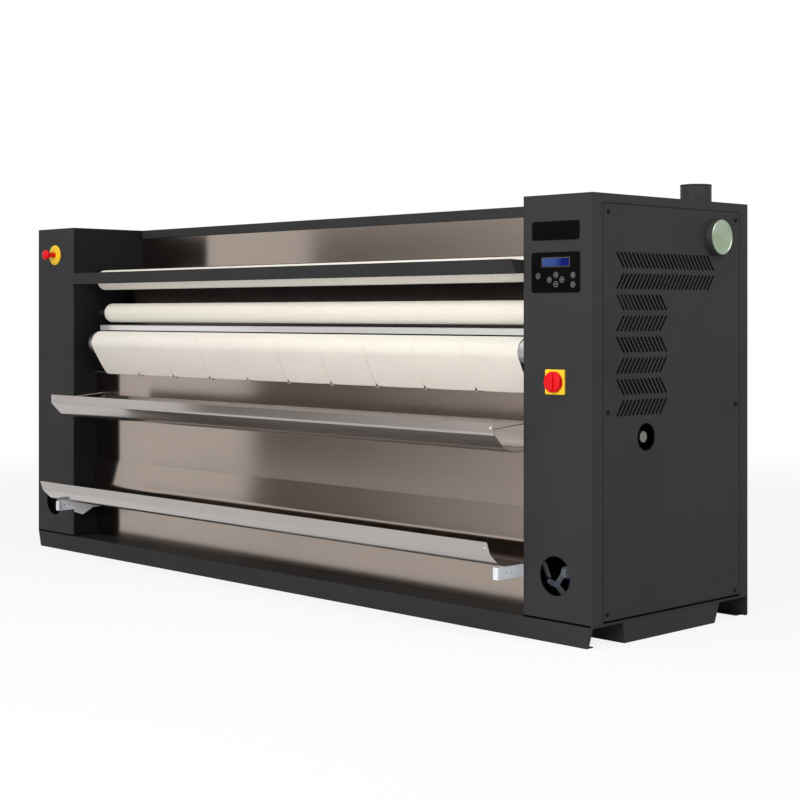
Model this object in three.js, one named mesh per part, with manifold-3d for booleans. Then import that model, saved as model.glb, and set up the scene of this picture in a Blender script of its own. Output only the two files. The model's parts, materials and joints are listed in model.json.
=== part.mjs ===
// Flatwork ironer: a heated cylinder between two end cabinets, fed from the front over a belt
// conveyor and returning the pressed linen to the front, down a cotton apron into two trays.
// Millimetres, +Z up. While building, X runs from the left end, Y from the cabinets' front
// faces to the rear and Z from the floor; the finished group is centred on its footprint.

import * as THREE from 'three';
import { mergeVertices } from 'three/addons/utils/BufferGeometryUtils.js';
import Module from 'manifold-3d';

const wasm = await Module();
wasm.setup();

// ---------------------------------------------------------------- driving dimensions

// Whole machine
const WIDTH = 3266;
const DEPTH = 859;
const HEIGHT = 1450;
const CABINET_WIDTH = 291;
const SHEET = 2;
const STAND_OFF = 0.3;
const RUNNING_GAP = 0.5;
const OPENING_LEFT = CABINET_WIDTH;
const OPENING_RIGHT = WIDTH - CABINET_WIDTH;

// The upper works are placed down from the top, so they keep together when the height changes.
const below = (drop) => HEIGHT - drop;

// Base frame
const BASE_HEIGHT = 70;
const BASE_SHEET = 3;
const BEAM_TOP_FLANGE = 146;
const BEAM_FOOT_FLANGE = 34;
const BEAM_END_BEVEL = 17;
const BEAM_CORNER_RADIUS = 8;
const SKIRT_FRONT_Y = 153;
const SKIRT_REAR_Y = 688;
const SKIRT_FRONT_SLANT = 8;
const SKIRT_REAR_SLANT = 24;
const SKIRT_RETURN = 128;

// End cabinets and their service panels
const FRAME_PLATE = 4;
const BORDER_FRONT = 52;
const BORDER_REAR = 50;
const BORDER_TOP = 31;
const BORDER_BOTTOM = 9;
const SEAM = 0.8;
const PORTHOLE_RADIUS = 64;
const PORTHOLE_Z = 217;
const PORTHOLE_FROM_CENTRE = 10;

// Louvres in the right service panel
const LOUVRE_ROWS = 8;
const LOUVRE_LONG_ROWS = 2;
const LOUVRE_FIRST_Y = 118;
const LOUVRE_LONG_END = 660;
const LOUVRE_SHORT_END = 392;
const LOUVRE_TOP_Z = below(187);
const LOUVRE_ROW_PITCH = 68.4;
const LOUVRE_HEIGHT = 50;
const LOUVRE_SLANT = 36;
const LOUVRE_PITCH = 20.6;
const LOUVRE_WIDTH = 9;

// Side port and hand-crank opening in the right service panel
const SIDE_PORT_RADIUS = 61;
const SIDE_PORT_Y = 669;
const SIDE_PORT_Z = below(122);
const SIDE_PORT_PROUD = 27;
const CRANK_OPENING_RADIUS = 44;
const CRANK_OPENING_Y = 276;
const CRANK_Y = 269;
const CRANK_Z = below(789);

// Exhaust stub on the right cabinet
const EXHAUST_RADIUS = 55;
const EXHAUST_WALL = 2;
const EXHAUST_X_FROM_RIGHT = 148;
const EXHAUST_Y = 758;
const EXHAUST_RISE = 72;
const EXHAUST_DROP = 60;

// Hood over the cylinder
const HOOD_FACE_Y = 371;
const HOOD_RAIL_HEIGHT = 39;
const HOOD_PANEL_BOTTOM = below(176);
const HOOD_PANEL_LIP = 18;
const PANEL_SHEET = 1.5;

// Stainless panel between the cabinets
const LOWER_PANEL_Y = 123;
const LOWER_PANEL_TOP = below(650);
const LOWER_PANEL_RETURN = 60;

// Linen trays
const TRAY_SHEET = 1.5;
const TRAY_LEFT_X = OPENING_LEFT + 41;
const TRAY_RIGHT_X = OPENING_RIGHT - 4;
const UPPER_TRAY_LIP = [-139, below(740)];
const UPPER_TRAY_FLOOR_Z = below(838);
const UPPER_TRAY_BACK_Z = below(748);
const LOWER_TRAY_LIP = [-172, 329];
const LOWER_TRAY_FLOOR_Z = 243;
const LOWER_TRAY_SPLASH_Z = 410;
const BRACKET_HEIGHT = 40;
const BRACKET_FRONT_Y = -124;
const BRACKET_THICK = 5;
const BRACKET_FLANGE = 17;
const BRACKET_FLANGE_END_Y = -31;
const LEFT_BRACKET_INSET = 54;
const GUSSET_LOW = [10, 172];
const GUSSET_END_Y = 70;
const BRACKET_HOLE_RADIUS = 4.5;
const BRACKET_HOLES_Y = [-81, -58];
const STAY_RADIUS = 2;

// Finger guard in front of the feed roller
const GUARD_TOP = [-60, below(206)];
const GUARD_BOTTOM = [-30, below(254)];
const GUARD_SHEET = 2.5;
const GUARD_SIDE_CLEARANCE = 5;
const GUARD_ARM_THICK = 4;
const GUARD_PIVOT = [45, below(230)];
const GUARD_PIVOT_EYE = 20;
const GUARD_PIN_RADIUS = 8;

// Heated cylinder
const CYLINDER_RADIUS = 205;
const CYLINDER_WALL = 12;
const CYLINDER_Y = 400;
const CYLINDER_Z = below(410);
const CYLINDER_FACE_INSET = 72;
const JOURNAL_RADIUS = 45;
const JOURNAL_BORE = 28;
const JOURNAL_REACH = 50;
const BEARING_RADIUS = 88;
const BEARING_THICK = 30;

// Roller shafts
const SHAFT_RADIUS = 12.5;
const SHAFT_REACH = 22;

// Rollers: centre in Y and Z, radius of the body
const FEED_ROLLER = { y: 127, z: below(234), r: 41 };
const FEED_NIP_ROLLER = { y: 245, z: below(213), r: 20 };
const EXIT_ROLLER = { y: 153, z: below(381), r: 42 };
const APRON_ROLLER = { y: 95, z: below(514), r: 49 };
const APRON_NOSE_BAR = { y: 115.4, z: below(646.5), r: 4.5 };
const BLANKET_TOP_ROLLER = { y: 420, z: below(170), r: 28 };
const BLANKET_EXIT_ROLLER = { y: 194, z: below(528.5), r: 25 };
const BLANKET_LOWER_ROLLER = { y: 520, z: below(680), r: 28 };
const BLANKET_REAR_ROLLER = { y: 680, z: below(260), r: 28 };
const FEED_FACE = [OPENING_LEFT + 60, OPENING_RIGHT - 50];
const EXIT_FACE = [OPENING_LEFT + 67, OPENING_RIGHT - 55];
const APRON_FACE = [OPENING_LEFT + 47, OPENING_RIGHT - 39];

// Belts
const BELT_COUNT = 10;
const BELT_GAP = 0.8;
const BELT_FIRST_X = OPENING_LEFT + 95;
const BELT_PITCH = (OPENING_RIGHT - 65 - BELT_FIRST_X) / BELT_COUNT;
const APRON_BELT_THICK = 1.8;
const FEED_BELT_THICK = 2.5;
const BLANKET_THICK = 3;
const BELT_CLEARANCE = 0.3;

// Exit plate
const EXIT_PLATE_TOP = below(435);
const EXIT_PLATE_REAR_Y = 184;
const EXIT_PLATE_NOSE_Y = 97;
const EXIT_PLATE_NOSE_Z = EXIT_PLATE_TOP - 23;
const EXIT_PLATE_SHEET = 2;

// Chain drive in the right cabinet
const CHAIN_PLANE_FROM_PLATE = 42;
const CHAIN_PITCH = 25.4;
const CHAIN_WIDTH = 12;
const CHAIN_PLATE = 11;
const CHAIN_WAIST = 7;
const SPROCKET_WIDTH = 9;
const SPROCKET_TOOTH = 8;
const CYLINDER_SPROCKET_TEETH = 30;
const MOTOR_SPROCKET_TEETH = 12;
const CRANK_SPROCKET_TEETH = 10;
const MOTOR_Y = 240;
const MOTOR_Z = 150;
const TENSION_SHOE = { y: 170, z: 200, r: 20 };
const TENSION_PIVOT = [131, 160];
const TENSION_HOOK = [92, 178];
const SPRING_ANCHOR = [50, 262];
const SPRING_COIL_RADIUS = 7;
const SPRING_WIRE_RADIUS = 1.3;
const SPRING_COILS = 14;
const LEVER_OUT = 24;
const LEVER_THICK = 6;
const STUD_RADIUS = 4;
const CRANK_SHAFT_RADIUS = 12;

// Controls on the cabinet fronts
const ESTOP_X = 140;
const ESTOP_Z = below(119);
const ESTOP_COLLAR_RADIUS = 45;
const ESTOP_COLLAR_THICK = 5;
const ESTOP_STEM_RADIUS = 11;
const ESTOP_CAP_RADIUS = 22;
const ESTOP_CAP_FRONT = 60;
const ESTOP_CAP_DEPTH = 21;
const CONTROL_X_FROM_RIGHT = 153;
const ISOLATOR_Z = below(606);
const ISOLATOR_PLATE = 81;
const ISOLATOR_PLATE_THICK = 6;
const ISOLATOR_KNOB_RADIUS = 34;
const ISOLATOR_KNOB_FRONT = 30;
const ISOLATOR_SPINDLE = 7;
const PANEL_CENTRE_Z = below(252);
const PANEL_WIDTH = 204;
const PANEL_HEIGHT = 131;
const PANEL_CORNER = 9;
const PANEL_THICK = 2.5;

// Places that follow from the sizes above
const BODY_BOTTOM = BASE_HEIGHT + STAND_OFF;
const REAR_INNER_Y = DEPTH - SHEET - STAND_OFF;
const CONTROL_X = WIDTH - CONTROL_X_FROM_RIGHT;
const LEFT_PLATE_OUT = OPENING_LEFT - FRAME_PLATE;
const RIGHT_PLATE_OUT = OPENING_RIGHT + FRAME_PLATE;
const CHAIN_X = RIGHT_PLATE_OUT + CHAIN_PLANE_FROM_PLATE;
const STUD_END = RIGHT_PLATE_OUT + LEVER_OUT + 2 * LEVER_THICK;
const CYLINDER = { y: CYLINDER_Y, z: CYLINDER_Z, r: CYLINDER_RADIUS };

// ---------------------------------------------------------------- materials

const FINISHES = {
  coat: { color: 0x3d3d3f, roughness: 0.55, metalness: 0.1 },
  coatDark: { color: 0x2c2c2e, roughness: 0.6, metalness: 0.1 },
  stainless: { color: 0xa89f95, roughness: 0.28, metalness: 1.0 },
  zinc: { color: 0xc4c8cc, roughness: 0.35, metalness: 1.0 },
  steel: { color: 0x8d8f92, roughness: 0.4, metalness: 1.0 },
  cloth: { color: 0xece7dc, roughness: 0.9, metalness: 0.0 },
  cylinder: { color: 0x1d1d1f, roughness: 0.35, metalness: 0.6 },
  yellow: { color: 0xf2cf10, roughness: 0.45, metalness: 0.0 },
  red: { color: 0xd8121c, roughness: 0.35, metalness: 0.0 },
  blackPlastic: { color: 0x111114, roughness: 0.3, metalness: 0.0 },
  motorBlue: { color: 0x1f4f7d, roughness: 0.5, metalness: 0.2 },
};

// ---------------------------------------------------------------- solid helpers

// Moves a geometry's axes in a cycle, which keeps its faces pointing out.
function cycleToX(geometry) {
  const position = geometry.getAttribute('position');
  for (let i = 0; i < position.count; i += 1) {
    position.setXYZ(i, position.getZ(i), position.getX(i), position.getY(i));
  }
  return geometry;
}

function solidOf(geometry) {
  const bare = geometry.clone();
  bare.deleteAttribute('normal');
  bare.deleteAttribute('uv');
  const merged = mergeVertices(bare, 1e-4);
  const index = merged.getIndex().array;
  const faces = [];
  for (let i = 0; i < index.length; i += 3) {
    const [a, b, c] = [index[i], index[i + 1], index[i + 2]];
    if (a !== b && b !== c && c !== a) {
      faces.push(a, b, c);
    }
  }
  return new wasm.Manifold(new wasm.Mesh({
    numProp: 3,
    vertProperties: new Float32Array(merged.getAttribute('position').array),
    triVerts: new Uint32Array(faces),
  }));
}

function geometryOf(solid) {
  const mesh = solid.getMesh();
  const geometry = new THREE.BufferGeometry();
  geometry.setAttribute('position', new THREE.BufferAttribute(mesh.vertProperties, 3));
  geometry.setIndex(new THREE.BufferAttribute(mesh.triVerts, 1));
  return geometry;
}

function box(x0, x1, y0, y1, z0, z1) {
  const geometry = new THREE.BoxGeometry(x1 - x0, y1 - y0, z1 - z0);
  geometry.translate((x0 + x1) / 2, (y0 + y1) / 2, (z0 + z1) / 2);
  return solidOf(geometry);
}

function shapeOf(points, holes = []) {
  const shape = new THREE.Shape(points.map(([a, b]) => new THREE.Vector2(a, b)));
  for (const hole of holes) {
    shape.holes.push(new THREE.Path(hole.map(([a, b]) => new THREE.Vector2(a, b))));
  }
  return shape;
}

function extrude(points, holes, depth) {
  return new THREE.ExtrudeGeometry(shapeOf(points, holes), { depth, bevelEnabled: false });
}

// Outline in Y and Z, swept along X.
function alongX(points, x0, x1, holes = []) {
  const geometry = cycleToX(extrude(points, holes, x1 - x0));
  geometry.translate(x0, 0, 0);
  return solidOf(geometry);
}

// Outline in X and Z, swept along Y.
function alongY(points, y0, y1, holes = []) {
  const geometry = extrude(points, holes, y1 - y0);
  geometry.rotateX(Math.PI / 2);
  geometry.translate(0, y1, 0);
  return solidOf(geometry);
}

function circlePoints(a, b, radius, segments = 24) {
  const points = [];
  for (let i = 0; i < segments; i += 1) {
    const angle = (2 * Math.PI * i) / segments;
    points.push([a + radius * Math.cos(angle), b + radius * Math.sin(angle)]);
  }
  return points;
}

function roundedRectangle(width, height, radius, steps = 4) {
  const points = [];
  const corners = [[1, 1], [-1, 1], [-1, -1], [1, -1]];
  corners.forEach(([sx, sz], corner) => {
    for (let i = 0; i <= steps; i += 1) {
      const angle = (Math.PI / 2) * (corner + i / steps);
      points.push([
        sx * (width / 2 - radius) + radius * Math.cos(angle),
        sz * (height / 2 - radius) + radius * Math.sin(angle),
      ]);
    }
  });
  return points;
}

function moved(points, a, b) {
  return points.map(([p, q]) => [p + a, q + b]);
}

// Profile of [radius, x] pairs turned about a line along X.
function turnedX(profile, y, z, segments = 24) {
  const points = profile.map(([radius, x]) => new THREE.Vector2(radius, x));
  points.push(points[0].clone());
  const geometry = new THREE.LatheGeometry(points, segments);
  const position = geometry.getAttribute('position');
  for (let i = 0; i < position.count; i += 1) {
    position.setXYZ(i, position.getY(i), position.getZ(i) + y, position.getX(i) + z);
  }
  return outward(geometry);
}

// Profile of [radius, y] pairs turned about a line along Y.
function turnedY(profile, x, z, segments = 24) {
  const points = profile.map(([radius, y]) => new THREE.Vector2(radius, y));
  points.push(points[0].clone());
  const geometry = new THREE.LatheGeometry(points, segments);
  geometry.translate(x, 0, z);
  return outward(geometry);
}

// Profile of [radius, z] pairs turned about a vertical line.
function turnedZ(profile, x, y, segments = 24) {
  const points = profile.map(([radius, z]) => new THREE.Vector2(radius, z));
  points.push(points[0].clone());
  const geometry = new THREE.LatheGeometry(points, segments);
  geometry.rotateX(Math.PI / 2);
  geometry.translate(x, y, 0);
  return outward(geometry);
}

// Signed volume of a closed geometry: negative when its faces point inwards.
function signedVolume(geometry) {
  const position = geometry.getAttribute('position');
  const index = geometry.getIndex();
  const a = new THREE.Vector3();
  const b = new THREE.Vector3();
  const c = new THREE.Vector3();
  let volume = 0;
  for (let i = 0; i < index.count; i += 3) {
    a.fromBufferAttribute(position, index.getX(i));
    b.fromBufferAttribute(position, index.getX(i + 1));
    c.fromBufferAttribute(position, index.getX(i + 2));
    volume += a.dot(b.cross(c)) / 6;
  }
  return volume;
}

function outward(geometry) {
  if (signedVolume(geometry) < 0) {
    const index = geometry.getIndex();
    for (let i = 0; i < index.count; i += 3) {
      const second = index.getX(i + 1);
      index.setX(i + 1, index.getX(i + 2));
      index.setX(i + 2, second);
    }
  }
  return solidOf(geometry);
}

// Closed outline of a folded sheet: the path and its copy set off to the left by the thickness.
function foldedSheet(path, thickness) {
  const offset = path.map((point, i) => {
    const before = path[Math.max(i - 1, 0)];
    const after = path[Math.min(i + 1, path.length - 1)];
    const along = (from, to) => new THREE.Vector2(to[0] - from[0], to[1] - from[1]).normalize();
    const incoming = i > 0 ? along(before, point) : along(point, after);
    const outgoing = i < path.length - 1 ? along(point, after) : incoming;
    const normalIn = new THREE.Vector2(-incoming.y, incoming.x);
    const normalOut = new THREE.Vector2(-outgoing.y, outgoing.x);
    const mitre = normalIn.clone().add(normalOut).normalize();
    const reach = thickness / mitre.dot(normalIn);
    return [point[0] + mitre.x * reach, point[1] + mitre.y * reach];
  });
  return [...path, ...offset.reverse()];
}

function arcPoints(y, z, radius, fromDegrees, toDegrees, steps) {
  const points = [];
  for (let i = 0; i <= steps; i += 1) {
    const angle = ((fromDegrees + ((toDegrees - fromDegrees) * i) / steps) * Math.PI) / 180;
    points.push([y + radius * Math.cos(angle), z + radius * Math.sin(angle)]);
  }
  return points;
}

// ---------------------------------------------------------------- belts round wheels

const ARC_STEP = Math.PI / 10;

// Path of a belt round wheels { y, z, r, side }, listed anticlockwise as seen from the right
// end. side is -1 for a wheel that the belt passes outside of, and 1 otherwise. reach is how far
// the path lies outside the wheels in the loop; span is the reach of the belt's outer surface
// plus its clearance, so that surface keeps the same clearance to a wheel outside the loop. The
// chords of every arc stay clear of the wheel, so a faceted roller never cuts its belt.
function beltPath(wheels, reach, span) {
  const facet = 1 / Math.cos(ARC_STEP / 2);
  const signed = wheels.map(({ r, side = 1 }) => (
    side > 0 ? (r + reach) * facet : -(r + span - reach) * facet
  ));
  const normals = wheels.map((wheel, i) => {
    const next = (i + 1) % wheels.length;
    const dy = wheels[next].y - wheel.y;
    const dz = wheels[next].z - wheel.z;
    return Math.atan2(dz, dy) + Math.acos((signed[next] - signed[i]) / Math.hypot(dy, dz));
  });
  const full = 2 * Math.PI;
  const points = [];
  wheels.forEach((wheel, i) => {
    const side = Math.sign(signed[i]);
    const from = normals[(i + wheels.length - 1) % wheels.length];
    const turn = side * ((((normals[i] - from) * side) % full + full) % full);
    const steps = Math.max(1, Math.ceil(Math.abs(turn) / ARC_STEP));
    for (let k = 0; k <= steps; k += 1) {
      const angle = from + (turn * k) / steps;
      points.push([
        wheel.y - signed[i] * Math.cos(angle),
        wheel.z - signed[i] * Math.sin(angle),
      ]);
    }
  });
  return points;
}

// Endless belt of even thickness, from x0 to x1.
function endlessBelt(wheels, thickness, clearance, x0, x1) {
  const span = 2 * clearance + thickness;
  const inner = beltPath(wheels, clearance, span);
  const outer = beltPath(wheels, clearance + thickness, span);
  return alongX(outer, x0, x1, [inner]);
}

// ---------------------------------------------------------------- the assembly

const machine = new THREE.Group();

function add(name, solid, finish) {
  const mesh = new THREE.Mesh(geometryOf(solid), new THREE.MeshStandardMaterial({
    ...FINISHES[finish],
    flatShading: true,
  }));
  mesh.name = name;
  machine.add(mesh);
}

// Turns a solid of the right end into its twin at the left end.
function mirroredEnd(solid) {
  return solid.mirror([1, 0, 0]).translate([WIDTH, 0, 0]);
}

// ---- Base: a front and a rear channel, tied at each end by a skirt with a floor plate

function baseBeam(frontY, inwards, bevel) {
  const web = [
    [0, BASE_HEIGHT],
    ...arcPoints(bevel + BEAM_CORNER_RADIUS, BEAM_CORNER_RADIUS, BEAM_CORNER_RADIUS, 180, 270, 4),
    ...arcPoints(WIDTH - bevel - BEAM_CORNER_RADIUS, BEAM_CORNER_RADIUS, BEAM_CORNER_RADIUS,
      -90, 0, 4),
    [WIDTH, BASE_HEIGHT],
  ];
  const webBack = frontY + inwards * BASE_SHEET;
  const wall = alongY(web, Math.min(frontY, webBack), Math.max(frontY, webBack));
  const flange = (depth, x0, x1, z0) => {
    const far = frontY + inwards * depth;
    return box(x0, x1, Math.min(frontY, far), Math.max(frontY, far), z0, z0 + BASE_SHEET);
  };
  const top = flange(BEAM_TOP_FLANGE, 0, WIDTH, BASE_HEIGHT - BASE_SHEET);
  const footInset = BEAM_END_BEVEL + BEAM_CORNER_RADIUS;
  const foot = flange(BEAM_FOOT_FLANGE, footInset, WIDTH - footInset, 0);
  return wall.add(top).add(foot);
}

function baseEndMember() {
  const front = SKIRT_FRONT_Y;
  const rear = SKIRT_REAR_Y;
  const skirt = alongX([
    [front, BASE_HEIGHT],
    [front + SKIRT_FRONT_SLANT, 0],
    ...arcPoints(rear - SKIRT_REAR_SLANT - BEAM_CORNER_RADIUS, BEAM_CORNER_RADIUS,
      BEAM_CORNER_RADIUS, -90, 0, 4),
    [rear, BASE_HEIGHT],
  ], WIDTH - BASE_SHEET, WIDTH);
  const floor = box(OPENING_RIGHT, WIDTH, BEAM_TOP_FLANGE + STAND_OFF,
    DEPTH - BEAM_TOP_FLANGE - STAND_OFF, BASE_HEIGHT - BASE_SHEET, BASE_HEIGHT);
  const returnY = front + SKIRT_FRONT_SLANT;
  const frontReturn = box(WIDTH - SKIRT_RETURN, WIDTH, returnY, returnY + BASE_SHEET, 0,
    BASE_HEIGHT);
  const rearReturnY = rear - SKIRT_REAR_SLANT - BEAM_CORNER_RADIUS;
  const rearReturn = box(WIDTH - SKIRT_RETURN, WIDTH, rearReturnY - BASE_SHEET, rearReturnY, 0,
    BASE_HEIGHT);
  const foot = box(WIDTH - SKIRT_RETURN, WIDTH, returnY, rearReturnY, 0, BASE_SHEET);
  return skirt.add(floor).add(frontReturn).add(rearReturn).add(foot);
}

function buildBase() {
  add('base_front_beam', baseBeam(0, 1, BEAM_END_BEVEL), 'coat');
  add('base_rear_beam', baseBeam(DEPTH, -1, 0), 'coat');
  const member = baseEndMember();
  add('base_right_member', member, 'coat');
  add('base_left_member', mirroredEnd(member), 'coat');
}

// ---- Frame plates: the inner cabinet walls, which carry every shaft

const SHAFT_ROLLERS = [
  FEED_ROLLER, FEED_NIP_ROLLER, EXIT_ROLLER, APRON_ROLLER, BLANKET_TOP_ROLLER,
  BLANKET_EXIT_ROLLER, BLANKET_LOWER_ROLLER, BLANKET_REAR_ROLLER,
];

function framePlate(extraHoles) {
  const front = SHEET + STAND_OFF;
  const top = HEIGHT - SHEET - STAND_OFF;
  const outline = [
    [front, BODY_BOTTOM], [REAR_INNER_Y, BODY_BOTTOM], [REAR_INNER_Y, top], [front, top],
  ];
  const holes = [
    ...SHAFT_ROLLERS.map(({ y, z }) => circlePoints(y, z, SHAFT_RADIUS + RUNNING_GAP, 12)),
    circlePoints(APRON_NOSE_BAR.y, APRON_NOSE_BAR.z, APRON_NOSE_BAR.r + RUNNING_GAP, 12),
    circlePoints(...GUARD_PIVOT, GUARD_PIN_RADIUS + RUNNING_GAP, 16),
    circlePoints(CYLINDER_Y, CYLINDER_Z, JOURNAL_RADIUS + RUNNING_GAP),
    ...extraHoles,
  ];
  return alongX(outline, OPENING_RIGHT, RIGHT_PLATE_OUT, holes);
}

function buildFramePlates() {
  const stud = turnedX([
    [0, RIGHT_PLATE_OUT - SHEET], [STUD_RADIUS, RIGHT_PLATE_OUT - SHEET],
    [STUD_RADIUS, STUD_END], [0, STUD_END],
  ], ...SPRING_ANCHOR, 16);
  add('right_frame_plate', framePlate([
    circlePoints(CRANK_Y, CRANK_Z, CRANK_SHAFT_RADIUS + RUNNING_GAP, 12),
  ]).add(stud), 'coatDark');
  add('left_frame_plate', mirroredEnd(framePlate([])), 'coatDark');
}

// ---- Cabinet shells: front, top and the border round the service panel, in one folding

const PANEL_OPENING = {
  y0: BORDER_FRONT,
  y1: DEPTH - BORDER_REAR,
  z0: BODY_BOTTOM + BORDER_BOTTOM,
  z1: HEIGHT - BORDER_TOP,
};

function cabinetShell() {
  const outer = box(OPENING_RIGHT, WIDTH, 0, REAR_INNER_Y, BODY_BOTTOM, HEIGHT);
  const hollow = box(OPENING_RIGHT - SHEET, WIDTH - SHEET, SHEET, DEPTH, 0, HEIGHT - SHEET);
  const { y0, y1, z0, z1 } = PANEL_OPENING;
  const doorway = box(WIDTH - 2 * SHEET, WIDTH + SHEET, y0, y1, z0, z1);
  const sill = box(OPENING_RIGHT + FRAME_PLATE + STAND_OFF, WIDTH, 0, BORDER_FRONT, BODY_BOTTOM,
    BODY_BOTTOM + SHEET);
  return outer.subtract(hollow).subtract(doorway).add(sill);
}

function throughFront(x, z, radius, segments = 32) {
  return alongY(circlePoints(x, z, radius, segments), -SHEET, 2 * SHEET);
}

function buildCabinets() {
  const shell = cabinetShell();
  const portholeX = WIDTH - CABINET_WIDTH / 2 - PORTHOLE_FROM_CENTRE;
  const exhaustX = WIDTH - EXHAUST_X_FROM_RIGHT;
  const exhaustHole = turnedZ([
    [0, HEIGHT - 2 * SHEET], [EXHAUST_RADIUS + RUNNING_GAP, HEIGHT - 2 * SHEET],
    [EXHAUST_RADIUS + RUNNING_GAP, HEIGHT + SHEET], [0, HEIGHT + SHEET],
  ], exhaustX, EXHAUST_Y);
  const right = shell
    .subtract(throughFront(portholeX, PORTHOLE_Z, PORTHOLE_RADIUS))
    .subtract(throughFront(CONTROL_X, ISOLATOR_Z, ISOLATOR_SPINDLE + RUNNING_GAP, 16))
    .subtract(exhaustHole);
  const left = mirroredEnd(shell)
    .subtract(throughFront(CABINET_WIDTH / 2 - PORTHOLE_FROM_CENTRE, PORTHOLE_Z, PORTHOLE_RADIUS))
    .subtract(throughFront(ESTOP_X, ESTOP_Z, ESTOP_STEM_RADIUS + RUNNING_GAP, 20));
  add('right_cabinet_shell', right, 'coat');
  add('left_cabinet_shell', left, 'coat');
  add('exhaust_stub', turnedZ([
    [EXHAUST_RADIUS - EXHAUST_WALL, HEIGHT - EXHAUST_DROP],
    [EXHAUST_RADIUS, HEIGHT - EXHAUST_DROP],
    [EXHAUST_RADIUS, HEIGHT + EXHAUST_RISE],
    [EXHAUST_RADIUS - EXHAUST_WALL, HEIGHT + EXHAUST_RISE],
  ], exhaustX, EXHAUST_Y), 'coat');
}

// ---- Service panels: flat plates that fill the shells' side openings; the right one is louvred

function louvreSlots() {
  const slots = [];
  for (let row = 0; row < LOUVRE_ROWS; row += 1) {
    const top = LOUVRE_TOP_Z - row * LOUVRE_ROW_PITCH;
    const end = row < LOUVRE_LONG_ROWS ? LOUVRE_LONG_END : LOUVRE_SHORT_END;
    const count = Math.floor((end - LOUVRE_FIRST_Y - LOUVRE_SLANT - LOUVRE_WIDTH) / LOUVRE_PITCH) + 1;
    const leans = row % 2 === 0 ? 1 : -1;
    for (let i = 0; i < count; i += 1) {
      const left = LOUVRE_FIRST_Y + i * LOUVRE_PITCH;
      const topY = leans > 0 ? left : left + LOUVRE_SLANT;
      const bottomY = topY + leans * LOUVRE_SLANT;
      slots.push([
        [bottomY, top - LOUVRE_HEIGHT], [bottomY + LOUVRE_WIDTH, top - LOUVRE_HEIGHT],
        [topY + LOUVRE_WIDTH, top], [topY, top],
      ]);
    }
  }
  return slots;
}

function servicePanel(holes) {
  const { y0, y1, z0, z1 } = PANEL_OPENING;
  const plate = box(WIDTH - SHEET, WIDTH, y0 + SEAM, y1 - SEAM, z0 + SEAM, z1 - SEAM);
  const cuts = holes.map((outline) => alongX(outline, WIDTH - 2 * SHEET, WIDTH + SHEET));
  return plate.subtract(wasm.Manifold.union([...cuts]));
}

function buildServicePanels() {
  const { y0, y1, z0, z1 } = PANEL_OPENING;
  add('left_side_panel', box(0, SHEET, y0 + SEAM, y1 - SEAM, z0 + SEAM, z1 - SEAM), 'coat');
  add('right_side_panel', servicePanel([
    ...louvreSlots(),
    circlePoints(SIDE_PORT_Y, SIDE_PORT_Z, SIDE_PORT_RADIUS + RUNNING_GAP),
    circlePoints(CRANK_OPENING_Y, CRANK_Z, CRANK_OPENING_RADIUS),
  ]), 'coat');
  const portBack = WIDTH - SIDE_PORT_PROUD;
  const portFront = WIDTH + SIDE_PORT_PROUD;
  add('side_port', turnedX([
    [0, portFront - SHEET], [SIDE_PORT_RADIUS - SHEET, portFront - SHEET],
    [SIDE_PORT_RADIUS - SHEET, portBack], [SIDE_PORT_RADIUS, portBack],
    [SIDE_PORT_RADIUS, portFront - SHEET], [SIDE_PORT_RADIUS - SHEET, portFront], [0, portFront],
  ], SIDE_PORT_Y, SIDE_PORT_Z), 'stainless');
}

// ---- Hood, rear panel and the stainless panel between the cabinets

function buildPanels() {
  const left = OPENING_LEFT + STAND_OFF;
  const right = OPENING_RIGHT - STAND_OFF;
  const railBottom = HEIGHT - HOOD_RAIL_HEIGHT;
  const hood = foldedSheet([
    [HOOD_FACE_Y, railBottom],
    [HOOD_FACE_Y, HEIGHT],
    [REAR_INNER_Y, HEIGHT],
  ], -SHEET);
  add('hood_cover', alongX(hood, left, right), 'coat');

  const faceY = HOOD_FACE_Y + SHEET + STAND_OFF;
  const face = foldedSheet([
    [faceY, HEIGHT - SHEET - STAND_OFF],
    [faceY, HOOD_PANEL_BOTTOM],
    [faceY + HOOD_PANEL_LIP * Math.SQRT1_2, HOOD_PANEL_BOTTOM - HOOD_PANEL_LIP * Math.SQRT1_2],
  ], PANEL_SHEET);
  add('hood_front_panel', alongX(face, left, right), 'stainless');

  add('rear_panel', box(0, WIDTH, DEPTH - SHEET, DEPTH, BODY_BOTTOM, HEIGHT), 'coat');

  const lower = foldedSheet([
    [LOWER_PANEL_Y + LOWER_PANEL_RETURN, BODY_BOTTOM + PANEL_SHEET],
    [LOWER_PANEL_Y + PANEL_SHEET, BODY_BOTTOM + PANEL_SHEET],
    [LOWER_PANEL_Y + PANEL_SHEET, LOWER_PANEL_TOP],
  ], PANEL_SHEET);
  add('lower_front_panel', alongX(lower, left, right), 'stainless');
}

// ---- Linen trays, their brackets and stays

// Path with its inner corners rounded by arcs of the given radius.
function rounded(path, radius, steps = 3) {
  const points = [path[0]];
  for (let i = 1; i < path.length - 1; i += 1) {
    const corner = new THREE.Vector2(...path[i]);
    const back = new THREE.Vector2(...path[i - 1]).sub(corner);
    const ahead = new THREE.Vector2(...path[i + 1]).sub(corner);
    const reach = Math.min(radius, back.length() / 2, ahead.length() / 2);
    const curve = new THREE.QuadraticBezierCurve(
      corner.clone().add(back.setLength(reach)),
      corner,
      corner.clone().add(ahead.setLength(reach)),
    );
    points.push(...curve.getPoints(steps).map(({ x, y }) => [x, y]));
  }
  points.push(path[path.length - 1]);
  return points;
}

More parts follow.
